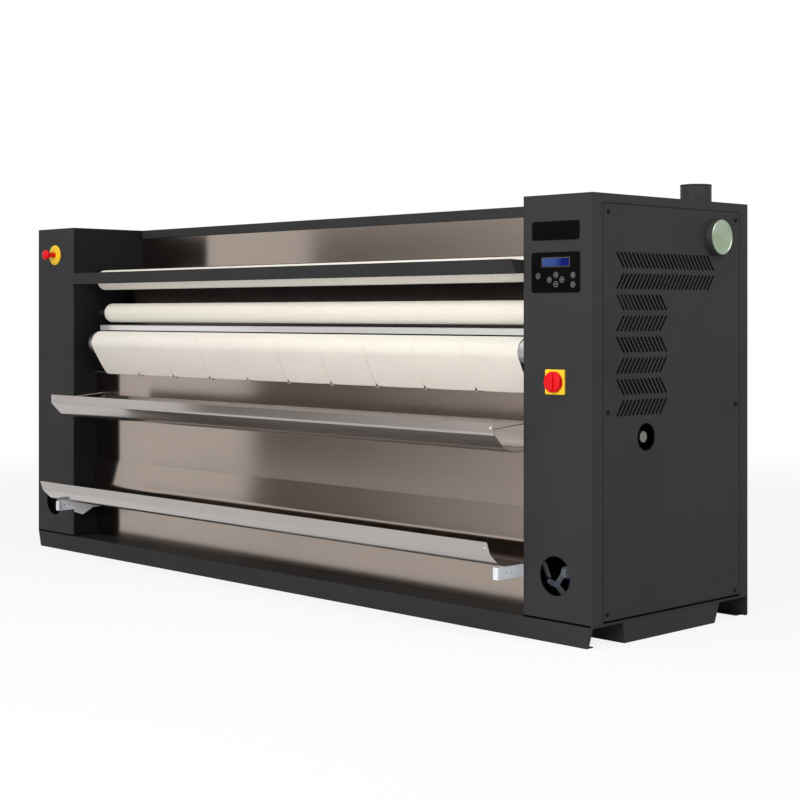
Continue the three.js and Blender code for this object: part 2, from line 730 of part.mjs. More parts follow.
const TRAY_BEND = 22;
const UPPER_TRAY_LIP_DROP = 36;
const UPPER_TRAY_FLOOR_FRONT = -76;
const LOWER_TRAY_LIP_FOLD = [-158, 290];
const LOWER_TRAY_FLOOR_FRONT = -108;
const LOWER_TRAY_RISE = [105, 297];
const TRAY_FLOOR_REAR = 30;
const TRAY_BACK_Y = LOWER_PANEL_Y - STAND_OFF - TRAY_SHEET;

function tray(path) {
  return alongX(foldedSheet(rounded(path, TRAY_BEND), -TRAY_SHEET), TRAY_LEFT_X, TRAY_RIGHT_X);
}

// Bar with a front and a bottom flange, and a ledge that ties it to the frame plate under the
// tray's end. inset is how far the bar stands in from the frame plate.
function trayBracket(inset, ledgeEnd) {
  const top = LOWER_TRAY_FLOOR_Z - TRAY_SHEET - STAND_OFF;
  const bottom = top - BRACKET_HEIGHT;
  const plate = OPENING_RIGHT - STAND_OFF;
  const inner = plate - inset - BRACKET_THICK;
  const outline = [
    [BRACKET_FRONT_Y, bottom], [TRAY_BACK_Y, bottom], [TRAY_BACK_Y, top], [BRACKET_FRONT_Y, top],
  ];
  const holes = BRACKET_HOLES_Y.map((y) => (
    circlePoints(y, top - BRACKET_HEIGHT / 2, BRACKET_HOLE_RADIUS, 12)
  ));
  const ledge = box(ledgeEnd, plate, LOWER_TRAY_FLOOR_FRONT + TRAY_BEND, TRAY_FLOOR_REAR,
    top - BASE_SHEET, top);
  const flangeX = inner - BRACKET_FLANGE;
  const frontFlange = box(flangeX, inner + BASE_SHEET, BRACKET_FRONT_Y,
    BRACKET_FRONT_Y + BASE_SHEET, bottom, top);
  const bottomFlange = box(flangeX, inner + BASE_SHEET, BRACKET_FRONT_Y, BRACKET_FLANGE_END_Y,
    bottom, bottom + BASE_SHEET);
  return alongX(outline, inner, inner + BRACKET_THICK, holes).add(ledge).add(frontFlange)
    .add(bottomFlange);
}

// Plate below the left bracket's bar, behind its bottom flange.
function bracketGusset() {
  const barBottom = LOWER_TRAY_FLOOR_Z - TRAY_SHEET - STAND_OFF - BRACKET_HEIGHT;
  const inner = OPENING_RIGHT - STAND_OFF - LEFT_BRACKET_INSET - BRACKET_THICK;
  return alongX([
    [BRACKET_FLANGE_END_Y, (GUSSET_LOW[1] + barBottom) / 2], GUSSET_LOW,
    [GUSSET_END_Y, barBottom + BASE_SHEET], [BRACKET_FLANGE_END_Y, barBottom + BASE_SHEET],
  ], inner, inner + BRACKET_THICK);
}

// Round rod between two points of one upright plane at x.
function rodInPlane(x, from, to, radius) {
  const start = new THREE.Vector3(x, ...from);
  const end = new THREE.Vector3(x, ...to);
  const axis = end.clone().sub(start);
  const geometry = new THREE.CylinderGeometry(radius, radius, axis.length(), 8);
  geometry.applyQuaternion(new THREE.Quaternion().setFromUnitVectors(
    new THREE.Vector3(0, 1, 0), axis.clone().normalize(),
  ));
  geometry.translate(...start.add(end).multiplyScalar(0.5));
  return solidOf(geometry);
}

const LEDGE_OVERLAP = 30;
const STAY_DROP = 20;
const STAY_INSET = 8;

function buildTrays() {
  const [lipY, lipZ] = UPPER_TRAY_LIP;
  add('upper_tray', tray([
    UPPER_TRAY_LIP, [lipY, lipZ - UPPER_TRAY_LIP_DROP],
    [UPPER_TRAY_FLOOR_FRONT, UPPER_TRAY_FLOOR_Z], [TRAY_FLOOR_REAR, UPPER_TRAY_FLOOR_Z],
    [TRAY_BACK_Y, UPPER_TRAY_BACK_Z],
  ]), 'stainless');
  add('lower_tray', tray([
    LOWER_TRAY_LIP, LOWER_TRAY_LIP_FOLD, [LOWER_TRAY_FLOOR_FRONT, LOWER_TRAY_FLOOR_Z],
    [TRAY_FLOOR_REAR, LOWER_TRAY_FLOOR_Z], LOWER_TRAY_RISE, [TRAY_BACK_Y, LOWER_TRAY_SPLASH_Z],
  ]), 'stainless');
  add('right_tray_bracket', trayBracket(0, TRAY_RIGHT_X - LEDGE_OVERLAP), 'zinc');
  const leftLedge = WIDTH - TRAY_LEFT_X - LEDGE_OVERLAP;
  add('left_tray_bracket',
    mirroredEnd(trayBracket(LEFT_BRACKET_INSET, leftLedge).add(bracketGusset())), 'zinc');
  const stayFront = [lipY + 2 * STAND_OFF, lipZ - STAY_DROP];
  const stayRear = [LOWER_PANEL_Y - 2 * STAND_OFF, lipZ];
  add('left_tray_stay', rodInPlane(TRAY_LEFT_X + STAY_INSET, stayFront, stayRear, STAY_RADIUS),
    'steel');
  add('right_tray_stay', rodInPlane(TRAY_RIGHT_X - STAY_INSET, stayFront, stayRear, STAY_RADIUS),
    'steel');
}

// ---- Finger guard: a folded bar on two end arms that swing on pins in the frame plates

const GUARD_TOP_FLANGE = 32;
const GUARD_BOTTOM_FLANGE = 22;

function buildGuard() {
  const [topY, topZ] = GUARD_TOP;
  const [bottomY, bottomZ] = GUARD_BOTTOM;
  const left = OPENING_LEFT + GUARD_SIDE_CLEARANCE;
  const right = OPENING_RIGHT - GUARD_SIDE_CLEARANCE;
  const bar = alongX(foldedSheet([
    [topY + GUARD_TOP_FLANGE, topZ - GUARD_SHEET], GUARD_TOP, GUARD_BOTTOM,
    [bottomY + GUARD_BOTTOM_FLANGE, bottomZ + GUARD_SHEET],
  ], GUARD_SHEET), left, right);
  const armOutline = [
    GUARD_TOP, GUARD_BOTTOM, ...arcPoints(...GUARD_PIVOT, GUARD_PIVOT_EYE, -90, 90, 6),
  ];
  const pin = (x0, x1) => turnedX([
    [0, x0], [GUARD_PIN_RADIUS, x0], [GUARD_PIN_RADIUS, x1], [0, x1],
  ], ...GUARD_PIVOT, 16);
  const arm = (x0) => alongX(armOutline, x0, x0 + GUARD_ARM_THICK);
  add('finger_guard', bar
    .add(arm(left)).add(arm(right - GUARD_ARM_THICK))
    .add(pin(LEFT_PLATE_OUT - SHEET, left + SHEET))
    .add(pin(right - SHEET, RIGHT_PLATE_OUT + SHEET)), 'coat');
}

// ---- Heated cylinder and its bearings

function buildCylinder() {
  const x0 = OPENING_LEFT + CYLINDER_FACE_INSET;
  const x1 = OPENING_RIGHT - CYLINDER_FACE_INSET;
  const xa = LEFT_PLATE_OUT - JOURNAL_REACH;
  const xb = RIGHT_PLATE_OUT + JOURNAL_REACH;
  const inside = CYLINDER_RADIUS - CYLINDER_WALL;
  add('heated_cylinder', turnedX([
    [JOURNAL_BORE, xa], [JOURNAL_RADIUS, xa], [JOURNAL_RADIUS, x0], [CYLINDER_RADIUS, x0],
    [CYLINDER_RADIUS, x1], [JOURNAL_RADIUS, x1], [JOURNAL_RADIUS, xb], [JOURNAL_BORE, xb],
    [JOURNAL_BORE, x1 - CYLINDER_WALL], [inside, x1 - CYLINDER_WALL],
    [inside, x0 + CYLINDER_WALL], [JOURNAL_BORE, x0 + CYLINDER_WALL],
  ], CYLINDER_Y, CYLINDER_Z), 'cylinder');
  const bore = JOURNAL_RADIUS + RUNNING_GAP;
  const seat = RIGHT_PLATE_OUT + STAND_OFF;
  const bearing = turnedX([
    [bore, seat], [BEARING_RADIUS, seat], [BEARING_RADIUS, seat + BEARING_THICK / 3],
    [(BEARING_RADIUS + bore) / 2, seat + BEARING_THICK], [bore, seat + BEARING_THICK],
  ], CYLINDER_Y, CYLINDER_Z);
  add('right_cylinder_bearing', bearing, 'steel');
  add('left_cylinder_bearing', mirroredEnd(bearing), 'steel');
}

// ---- Rollers

function roller(name, { y, z, r }, [x0, x1], finish) {
  const xa = LEFT_PLATE_OUT - SHAFT_REACH;
  const xb = RIGHT_PLATE_OUT + SHAFT_REACH;
  add(name, turnedX([
    [0, xa], [SHAFT_RADIUS, xa], [SHAFT_RADIUS, x0], [r, x0], [r, x1], [SHAFT_RADIUS, x1],
    [SHAFT_RADIUS, xb], [0, xb],
  ], y, z, 20), finish);
}

function buildRollers() {
  roller('feed_roller', FEED_ROLLER, FEED_FACE, 'steel');
  roller('feed_nip_roller', FEED_NIP_ROLLER, FEED_FACE, 'steel');
  roller('exit_roller', EXIT_ROLLER, EXIT_FACE, 'cloth');
  roller('apron_roller', APRON_ROLLER, APRON_FACE, 'steel');
  roller('blanket_top_roller', BLANKET_TOP_ROLLER, FEED_FACE, 'steel');
  roller('blanket_exit_roller', BLANKET_EXIT_ROLLER, FEED_FACE, 'steel');
  roller('blanket_lower_roller', BLANKET_LOWER_ROLLER, FEED_FACE, 'steel');
  roller('blanket_rear_roller', BLANKET_REAR_ROLLER, FEED_FACE, 'steel');
  const { y, z, r } = APRON_NOSE_BAR;
  const x0 = LEFT_PLATE_OUT - SHEET;
  const x1 = RIGHT_PLATE_OUT + SHEET;
  add('apron_nose_bar', turnedX([[0, x0], [r, x0], [r, x1], [0, x1]], y, z, 12), 'steel');
}

// ---- Belts, blanket and exit plate

function buildBelts() {
  const width = BELT_PITCH - BELT_GAP;
  const last = BELT_FIRST_X + BELT_COUNT * BELT_PITCH - BELT_GAP;
  for (let i = 0; i < BELT_COUNT; i += 1) {
    const x0 = BELT_FIRST_X + i * BELT_PITCH;
    add(`apron_belt_${i + 1}`, endlessBelt([APRON_NOSE_BAR, APRON_ROLLER], APRON_BELT_THICK,
      BELT_CLEARANCE, x0, x0 + width), 'cloth');
  }
  add('feed_belt', endlessBelt([FEED_ROLLER, FEED_NIP_ROLLER], FEED_BELT_THICK, BELT_CLEARANCE,
    FEED_FACE[0] + SHEET, FEED_FACE[1] - SHEET), 'cloth');
  add('ironing_blanket', endlessBelt([
    BLANKET_EXIT_ROLLER, BLANKET_LOWER_ROLLER, BLANKET_REAR_ROLLER, BLANKET_TOP_ROLLER,
    { ...CYLINDER, side: -1 },
  ], BLANKET_THICK, BELT_CLEARANCE, BELT_FIRST_X, last), 'cloth');
}

const EXIT_PLATE_FOLD_Y = 112;
const EXIT_PLATE_TAB_DEPTH = 30;

function buildExitPlate() {
  const nose = foldedSheet([
    [EXIT_PLATE_NOSE_Y, EXIT_PLATE_NOSE_Z], [EXIT_PLATE_NOSE_Y, EXIT_PLATE_TOP - EXIT_PLATE_SHEET],
    [EXIT_PLATE_FOLD_Y, EXIT_PLATE_TOP], [EXIT_PLATE_REAR_Y, EXIT_PLATE_TOP],
  ], -EXIT_PLATE_SHEET);
  const tab = (x0, x1) => box(x0, x1, EXIT_PLATE_REAR_Y - EXIT_PLATE_TAB_DEPTH, EXIT_PLATE_REAR_Y,
    EXIT_PLATE_TOP - EXIT_PLATE_SHEET, EXIT_PLATE_TOP);
  const [x0, x1] = EXIT_FACE;
  add('exit_plate', alongX(nose, x0, x1)
    .add(tab(OPENING_LEFT + STAND_OFF, x0 + SHEET))
    .add(tab(x1 - SHEET, OPENING_RIGHT - STAND_OFF)), 'stainless');
}

// ---- Chain drive, tensioner and hand crank in the right cabinet

function pitchRadius(teeth) {
  return CHAIN_PITCH / (2 * Math.sin(Math.PI / teeth));
}

function sprocketOutline(teeth, y, z) {
  const tip = pitchRadius(teeth);
  const root = tip - SPROCKET_TOOTH;
  const points = [];
  for (let i = 0; i < teeth; i += 1) {
    for (const [part, radius] of [[0, root], [0.3, root], [0.5, tip], [0.8, tip]]) {
      const angle = (2 * Math.PI * (i + part)) / teeth;
      points.push([y + radius * Math.cos(angle), z + radius * Math.sin(angle)]);
    }
  }
  return points;
}

function sprocket(teeth, y, z, holes = []) {
  const half = SPROCKET_WIDTH / 2;
  return alongX(sprocketOutline(teeth, y, z), CHAIN_X - half, CHAIN_X + half, holes);
}

// Walks a closed path and gives points a set distance apart, with the outward direction.
function evenSteps(path, count) {
  const ends = path.map((point, i) => [point, path[(i + 1) % path.length]]);
  const lengths = ends.map(([a, b]) => Math.hypot(b[0] - a[0], b[1] - a[1]));
  const total = lengths.reduce((sum, length) => sum + length, 0);
  const steps = [];
  let segment = 0;
  let before = 0;
  for (let i = 0; i < count; i += 1) {
    const target = (total * i) / count;
    while (before + lengths[segment] < target) {
      before += lengths[segment];
      segment += 1;
    }
    const [a, b] = ends[segment];
    const share = (target - before) / lengths[segment];
    const along = [(b[0] - a[0]) / lengths[segment], (b[1] - a[1]) / lengths[segment]];
    steps.push({
      at: [a[0] + (b[0] - a[0]) * share, a[1] + (b[1] - a[1]) * share],
      out: [along[1], -along[0]],
    });
  }
  return steps;
}

function chainLoop(wheels) {
  const span = 2 * BELT_CLEARANCE + CHAIN_PLATE;
  const inner = beltPath(wheels, BELT_CLEARANCE, span);
  const waist = beltPath(wheels, BELT_CLEARANCE + CHAIN_WAIST, span);
  const length = waist.reduce((sum, [y, z], i) => {
    const [ny, nz] = waist[(i + 1) % waist.length];
    return sum + Math.hypot(ny - y, nz - z);
  }, 0);
  const links = Math.round(length / CHAIN_PITCH);
  const partsPerLink = 3;
  const bulge = CHAIN_PLATE - CHAIN_WAIST;
  const outer = evenSteps(waist, links * partsPerLink).map(({ at, out }, i) => {
    const rise = i % partsPerLink === 0 ? 0 : bulge;
    return [at[0] + out[0] * rise, at[1] + out[1] * rise];
  });
  return alongX(outer, CHAIN_X - CHAIN_WIDTH / 2, CHAIN_X + CHAIN_WIDTH / 2, [inner]);
}

// Flat strap with round ends between two points of the Y-Z plane.
function strap(from, to, radius, x0, x1) {
  const dy = to[0] - from[0];
  const dz = to[1] - from[1];
  const degrees = (Math.atan2(dz, dy) * 180) / Math.PI;
  return alongX([
    ...arcPoints(...to, radius, degrees - 90, degrees + 90, 6),
    ...arcPoints(...from, radius, degrees + 90, degrees + 270, 6),
  ], x0, x1);
}

const MOTOR_HALF = 62;
const GEARBOX_HALF_LENGTH = 75;
const MOTOR_LENGTH = 190;
const MOTOR_RADIUS = 58;
const GEARBOX_GAP = 12;
const GEARBOX_DEPTH = 124;
const DRIVE_SHAFT_RADIUS = 15;
const DRIVE_SHAFT_BORE_DEPTH = 40;
const CRANK_HUB_RADIUS = 18.5;
const CRANK_END_INSET = 6;
const CRANK_HUB_LENGTH = 50;
const LEVER_TAIL = [165, 129];
const LEVER_STRAP_RADIUS = 9;

function buildDrive() {
  const journalHole = circlePoints(CYLINDER_Y, CYLINDER_Z, JOURNAL_RADIUS + STAND_OFF);
  add('cylinder_sprocket', sprocket(CYLINDER_SPROCKET_TEETH, CYLINDER_Y, CYLINDER_Z, [journalHole]),
    'steel');

  const boxFront = CHAIN_X + GEARBOX_GAP;
  const shaftEnd = boxFront + DRIVE_SHAFT_BORE_DEPTH - SHEET;
  const shaft = (radius, x0, x1, y, z) => turnedX([
    [0, x0], [radius, x0], [radius, x1], [0, x1],
  ], y, z, 20);
  add('motor_sprocket', sprocket(MOTOR_SPROCKET_TEETH, MOTOR_Y, MOTOR_Z)
    .add(shaft(DRIVE_SHAFT_RADIUS, CHAIN_X - SPROCKET_WIDTH, shaftEnd, MOTOR_Y, MOTOR_Z)), 'steel');

  const bore = shaft(DRIVE_SHAFT_RADIUS + RUNNING_GAP, boxFront - SHEET,
    boxFront + DRIVE_SHAFT_BORE_DEPTH, MOTOR_Y, MOTOR_Z);
  const boxBack = boxFront + GEARBOX_DEPTH;
  const motorX = (boxFront + boxBack) / 2;
  const gearbox = box(boxFront, boxBack, MOTOR_Y - GEARBOX_HALF_LENGTH,
    MOTOR_Y + GEARBOX_HALF_LENGTH, BODY_BOTTOM, MOTOR_Z + MOTOR_HALF);
  const motorY = MOTOR_Y + GEARBOX_HALF_LENGTH - SHEET;
  const motor = turnedY([
    [0, motorY], [MOTOR_RADIUS, motorY], [MOTOR_RADIUS, motorY + MOTOR_LENGTH * 0.8],
    [MOTOR_RADIUS + SHEET, motorY + MOTOR_LENGTH * 0.8],
    [MOTOR_RADIUS + SHEET, motorY + MOTOR_LENGTH - SHEET * 4],
    [MOTOR_RADIUS - SHEET * 3, motorY + MOTOR_LENGTH], [0, motorY + MOTOR_LENGTH],
  ], motorX, MOTOR_Z, 20);
  const terminalBox = box(motorX - MOTOR_HALF / 2, motorX + MOTOR_HALF / 2,
    motorY + MOTOR_HALF / 2, motorY + MOTOR_LENGTH / 2, MOTOR_Z, MOTOR_Z + MOTOR_HALF + MOTOR_HALF / 2);
  add('gearmotor', gearbox.add(motor).add(terminalBox).subtract(bore), 'motorBlue');

  const crankEnd = WIDTH - CRANK_END_INSET;
  add('crank_shaft', sprocket(CRANK_SPROCKET_TEETH, CRANK_Y, CRANK_Z)
    .add(shaft(CRANK_SHAFT_RADIUS, OPENING_RIGHT + STAND_OFF, crankEnd, CRANK_Y, CRANK_Z))
    .add(shaft(CRANK_HUB_RADIUS, crankEnd - CRANK_HUB_LENGTH, crankEnd, CRANK_Y, CRANK_Z)),
  'steel');

  add('drive_chain', chainLoop([
    { y: MOTOR_Y, z: MOTOR_Z, r: pitchRadius(MOTOR_SPROCKET_TEETH) },
    { y: CYLINDER_Y, z: CYLINDER_Z, r: pitchRadius(CYLINDER_SPROCKET_TEETH) },
    { y: CRANK_Y, z: CRANK_Z, r: pitchRadius(CRANK_SPROCKET_TEETH) },
    { ...TENSION_SHOE, side: -1 },
  ]), 'steel');
}

function buildTensioner() {
  const x0 = RIGHT_PLATE_OUT + LEVER_OUT;
  const x1 = x0 + LEVER_THICK;
  const post = (at, radius, from, to) => turnedX([
    [0, from], [radius, from], [radius, to], [0, to],
  ], ...at, 16);
  const shoeAt = [TENSION_SHOE.y, TENSION_SHOE.z];
  add('tension_lever', strap(TENSION_PIVOT, TENSION_HOOK, LEVER_STRAP_RADIUS, x0, x1)
    .add(strap(TENSION_PIVOT, shoeAt, LEVER_STRAP_RADIUS, x0, x1))
    .add(strap(TENSION_PIVOT, LEVER_TAIL, LEVER_STRAP_RADIUS, x0, x1))
    .add(post(TENSION_PIVOT, LEVER_STRAP_RADIUS, RIGHT_PLATE_OUT + STAND_OFF, x1))
    .add(post(TENSION_HOOK, STUD_RADIUS, x0, STUD_END))
    .add(post(shoeAt, TENSION_SHOE.r, x1 - SHEET, CHAIN_X + CHAIN_WIDTH / 2)), 'zinc');
  add('tension_spring', tensionSpring(x1 + LEVER_THICK / 2), 'steel');
}

const SPRING_STEPS = 8;
const SPRING_SIDES = 5;
const SPRING_END = 14;
const SPRING_CHECK_POINTS = 4;

// Coil spring as one unbroken tube: a straight end, the coils, and a straight end.
function tensionSpring(x) {
  const start = new THREE.Vector3(x, ...TENSION_HOOK);
  const end = new THREE.Vector3(x, ...SPRING_ANCHOR);
  const axis = end.clone().sub(start).normalize();
  const side = new THREE.Vector3(1, 0, 0);
  const up = new THREE.Vector3().crossVectors(axis, side);
  const clear = STUD_RADIUS + STAND_OFF;
  const from = start.clone().addScaledVector(axis, clear);
  const to = end.clone().addScaledVector(axis, -clear);
  const coilLength = from.distanceTo(to) - 2 * SPRING_END;
  const pitch = coilLength / SPRING_COILS;
  const points = [from, from.clone().addScaledVector(axis, SPRING_END / 2)];
  const count = SPRING_COILS * SPRING_STEPS;
  for (let i = 0; i <= count; i += 1) {
    const angle = (2 * Math.PI * i) / SPRING_STEPS;
    points.push(from.clone()
      .addScaledVector(axis, SPRING_END + (coilLength * i) / count)
      .addScaledVector(side, SPRING_COIL_RADIUS * Math.cos(angle))
      .addScaledVector(up, SPRING_COIL_RADIUS * Math.sin(angle)));
  }
  points.push(to.clone().addScaledVector(axis, -SPRING_END / 2), to);
  const turnGap = pitch - 2 * SPRING_WIRE_RADIUS;
  console.log(`tension spring: least gap between its turns ${leastGap(points, turnGap).toFixed(2)} mm`);
  return solidOf(tubeThrough(points, SPRING_WIRE_RADIUS, SPRING_SIDES));
}

// Least distance between the tube's surface and itself, over points at least half a turn apart.
function leastGap(points, start) {
  const curve = new THREE.CatmullRomCurve3(points);
  const samples = curve.getPoints(points.length * SPRING_CHECK_POINTS);
  const apart = (SPRING_STEPS / 2) * SPRING_CHECK_POINTS;
  let least = start;
  samples.forEach((sample, i) => {
    for (let k = i + apart; k < samples.length; k += 1) {
      least = Math.min(least, sample.distanceTo(samples[k]) - 2 * SPRING_WIRE_RADIUS);
    }
  });
  return least;
}

// Tube of even radius with one ring of corners at each point and flat ends.
function tubeThrough(points, radius, sides) {
  const vertices = [];
  let normal = new THREE.Vector3(1, 0, 0);
  points.forEach((point, i) => {
    const before = points[Math.max(i - 1, 0)];
    const after = points[Math.min(i + 1, points.length - 1)];
    const along = after.clone().sub(before).normalize();
    normal = normal.clone().addScaledVector(along, -normal.dot(along)).normalize();
    const across = new THREE.Vector3().crossVectors(along, normal);
    for (let s = 0; s < sides; s += 1) {
      const angle = (2 * Math.PI * s) / sides;
      const corner = point.clone()
        .addScaledVector(normal, radius * Math.cos(angle))
        .addScaledVector(across, radius * Math.sin(angle));
      vertices.push(corner.x, corner.y, corner.z);
    }
  });
  const index = [];
  const last = (points.length - 1) * sides;
  for (let ring = 0; ring < last; ring += sides) {
    for (let s = 0; s < sides; s += 1) {
      const a = ring + s;
      const b = ring + ((s + 1) % sides);
      index.push(a, b, b + sides, a, b + sides, a + sides);
    }
  }
  for (let s = 1; s < sides - 1; s += 1) {
    index.push(0, s + 1, s, last, last + s, last + s + 1);
  }
  const geometry = new THREE.BufferGeometry();
  geometry.setAttribute('position', new THREE.Float32BufferAttribute(vertices, 3));
  geometry.setIndex(index);
  return geometry;
}

// ---- Controls

const KNOB_DISC_FRONT = 22;
const KNOB_GRIP_WIDTH = 15;
const KNOB_GRIP_HEIGHT = 58;
const KNOB_EDGE = 3;
const SPINDLE_INSIDE = 12;

function buildControls() {
  const stemBore = ESTOP_STEM_RADIUS + RUNNING_GAP;
  add('estop_collar', turnedY([
    [stemBore, 0], [ESTOP_COLLAR_RADIUS, 0], [ESTOP_COLLAR_RADIUS, -ESTOP_COLLAR_THICK / 2],
    [ESTOP_COLLAR_RADIUS - ESTOP_COLLAR_THICK / 2, -ESTOP_COLLAR_THICK],
    [stemBore, -ESTOP_COLLAR_THICK],
  ], ESTOP_X, ESTOP_Z), 'yellow');
  const capBack = ESTOP_CAP_DEPTH - ESTOP_CAP_FRONT;
  add('estop_button', turnedY([
    [0, SPINDLE_INSIDE], [ESTOP_STEM_RADIUS, SPINDLE_INSIDE], [ESTOP_STEM_RADIUS, capBack],
    [ESTOP_CAP_RADIUS, capBack - KNOB_EDGE], [ESTOP_CAP_RADIUS, KNOB_EDGE * 2 - ESTOP_CAP_FRONT],
    [ESTOP_CAP_RADIUS - KNOB_EDGE * 2, -ESTOP_CAP_FRONT], [0, -ESTOP_CAP_FRONT],
  ], ESTOP_X, ESTOP_Z, 20), 'red');

  const plate = moved(roundedRectangle(ISOLATOR_PLATE, ISOLATOR_PLATE, KNOB_EDGE), CONTROL_X,
    ISOLATOR_Z);
  add('isolator_plate', alongY(plate, -ISOLATOR_PLATE_THICK, 0, [
    circlePoints(CONTROL_X, ISOLATOR_Z, ISOLATOR_SPINDLE + RUNNING_GAP, 16),
  ]), 'yellow');
  const knobBack = -ISOLATOR_PLATE_THICK - STAND_OFF;
  const disc = turnedY([
    [0, SPINDLE_INSIDE], [ISOLATOR_SPINDLE, SPINDLE_INSIDE], [ISOLATOR_SPINDLE, knobBack],
    [ISOLATOR_KNOB_RADIUS, knobBack], [ISOLATOR_KNOB_RADIUS, KNOB_EDGE - KNOB_DISC_FRONT],
    [ISOLATOR_KNOB_RADIUS - KNOB_EDGE, -KNOB_DISC_FRONT], [0, -KNOB_DISC_FRONT],
  ], CONTROL_X, ISOLATOR_Z);
  const grip = alongY(moved(roundedRectangle(KNOB_GRIP_WIDTH, KNOB_GRIP_HEIGHT, KNOB_EDGE, 2),
    CONTROL_X, ISOLATOR_Z), -ISOLATOR_KNOB_FRONT, KNOB_EDGE - KNOB_DISC_FRONT);
  add('isolator_knob', disc.add(grip), 'red');

  const face = moved(roundedRectangle(PANEL_WIDTH, PANEL_HEIGHT, PANEL_CORNER), CONTROL_X,
    PANEL_CENTRE_Z);
  add('control_panel', alongY(face, -PANEL_THICK, 0), 'blackPlastic');
}

// ---------------------------------------------------------------- build and centre

buildBase();
buildFramePlates();
buildCabinets();
buildServicePanels();
buildPanels();
buildTrays();
buildGuard();
buildCylinder();
buildRollers();
buildBelts();
buildExitPlate();
buildDrive();
buildTensioner();
buildControls();

const reach = new THREE.Box3().setFromObject(machine);
const middle = reach.getCenter(new THREE.Vector3());
machine.position.set(-middle.x, -middle.y, -reach.min.z);

const ironer = new THREE.Group();
ironer.add(machine);

export default ironer;
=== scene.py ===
"""Flatwork ironer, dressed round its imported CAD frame.

Sizes are millimetres in the machine's own measure frame: X from the left end, Y from the
cabinets' front faces to the rear, Z from the floor. at() turns them into metres in the row frame.
"""

import json
import math

import bmesh
import bpy
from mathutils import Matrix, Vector, noise


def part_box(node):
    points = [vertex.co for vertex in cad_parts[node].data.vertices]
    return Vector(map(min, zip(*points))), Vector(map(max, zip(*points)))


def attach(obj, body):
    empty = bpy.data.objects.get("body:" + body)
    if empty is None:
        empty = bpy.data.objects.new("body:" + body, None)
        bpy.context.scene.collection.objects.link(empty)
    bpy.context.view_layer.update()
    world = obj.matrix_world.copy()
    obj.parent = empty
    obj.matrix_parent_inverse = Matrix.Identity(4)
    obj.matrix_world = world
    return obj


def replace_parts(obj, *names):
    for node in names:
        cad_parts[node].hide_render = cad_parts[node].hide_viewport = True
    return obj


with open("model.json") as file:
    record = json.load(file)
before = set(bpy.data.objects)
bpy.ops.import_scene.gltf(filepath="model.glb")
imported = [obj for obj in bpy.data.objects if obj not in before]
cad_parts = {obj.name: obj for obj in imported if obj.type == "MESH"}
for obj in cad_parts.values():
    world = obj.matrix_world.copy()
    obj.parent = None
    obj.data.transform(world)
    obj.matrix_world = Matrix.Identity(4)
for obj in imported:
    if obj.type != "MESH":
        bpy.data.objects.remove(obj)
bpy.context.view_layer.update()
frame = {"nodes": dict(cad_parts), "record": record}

scene = bpy.context.scene
scene.view_settings.view_transform = "Standard"
FLOOR_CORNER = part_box("base_front_beam")[0]
FRAME = "machine_frame"

WIDTH, DEPTH, HEIGHT = 3266, 859, 1450
CABINET_WIDTH = 291
OPENING_LEFT, OPENING_RIGHT = CABINET_WIDTH, WIDTH - CABINET_WIDTH
CONTROL_X = 3113


def at(x, y, z):
    """Point of the measure frame, in metres in the row frame."""
    return FLOOR_CORNER + Vector((x, y, z)) / 1000


def new_object(name, data):
    made = bpy.data.objects.new(name, data)
    scene.collection.objects.link(made)
    return made


# ------------------------ camera, lamps and stage

PICTURE = 800
SENSOR = 36
FOCAL_PX = 1625.3
AXIS_ROW_PX = 314.2
CAMERA_AT = (6532, -4011, 1063)
CAMERA_TOWARDS = Vector((-0.7183, 0.6957, 0))

camera_data = bpy.data.cameras.new("camera")
camera_data.sensor_width = SENSOR
camera_data.lens = SENSOR * FOCAL_PX / PICTURE
camera_data.shift_y = (AXIS_ROW_PX - PICTURE / 2) / PICTURE
camera = new_object("camera", camera_data)
camera.location = at(*CAMERA_AT)
camera.rotation_euler = CAMERA_TOWARDS.to_track_quat("-Z", "Y").to_euler()
scene.camera = camera


def area_lamp(name, place, target, size, power):
    data = bpy.data.lights.new(name, "AREA")
    data.shape = "RECTANGLE"
    data.size, data.size_y = size
    data.energy = power
    lamp = new_object(name, data)
    lamp.location = at(*place)
    lamp.rotation_euler = (at(*target) - lamp.location).to_track_quat("-Z", "Y").to_euler()


MIDDLE = (1633, 300, 700)
area_lamp("top_softbox", (2100, -1400, 4200), MIDDLE, (5.0, 2.4), 82)
area_lamp("front_softbox", (3500, -5000, 1900), MIDDLE, (4.0, 2.6), 218)
area_lamp("right_softbox", (6400, 500, 3500), MIDDLE, (3.0, 2.6), 100)


def node_tree(owner):
    """Emptied node tree of a material or of the world."""
    owner.use_nodes = True
    tree = owner.node_tree
    tree.nodes.clear()
    return tree


def add_node(tree, kind, values=None):
    """New node; values are the settings of its inputs by name."""
    node = tree.nodes.new(kind)
    for name, value in (values or {}).items():
        node.inputs[name].default_value = value
    return node


def math_node(tree, operation, first, second):
    node = add_node(tree, "ShaderNodeMath")
    node.operation = operation
    tree.links.new(first, node.inputs[0])
    tree.links.new(second, node.inputs[1])
    return node.outputs[0]


def mix_to_output(tree, factor, first, second, output):
    """Show the first shader where the factor is 0 and the second where it is 1."""
    mix = add_node(tree, "ShaderNodeMixShader")
    tree.links.new(factor, mix.inputs["Fac"])
    tree.links.new(first.outputs[0], mix.inputs[1])
    tree.links.new(second.outputs[0], mix.inputs[2])
    tree.links.new(mix.outputs[0], add_node(tree, output).inputs["Surface"])


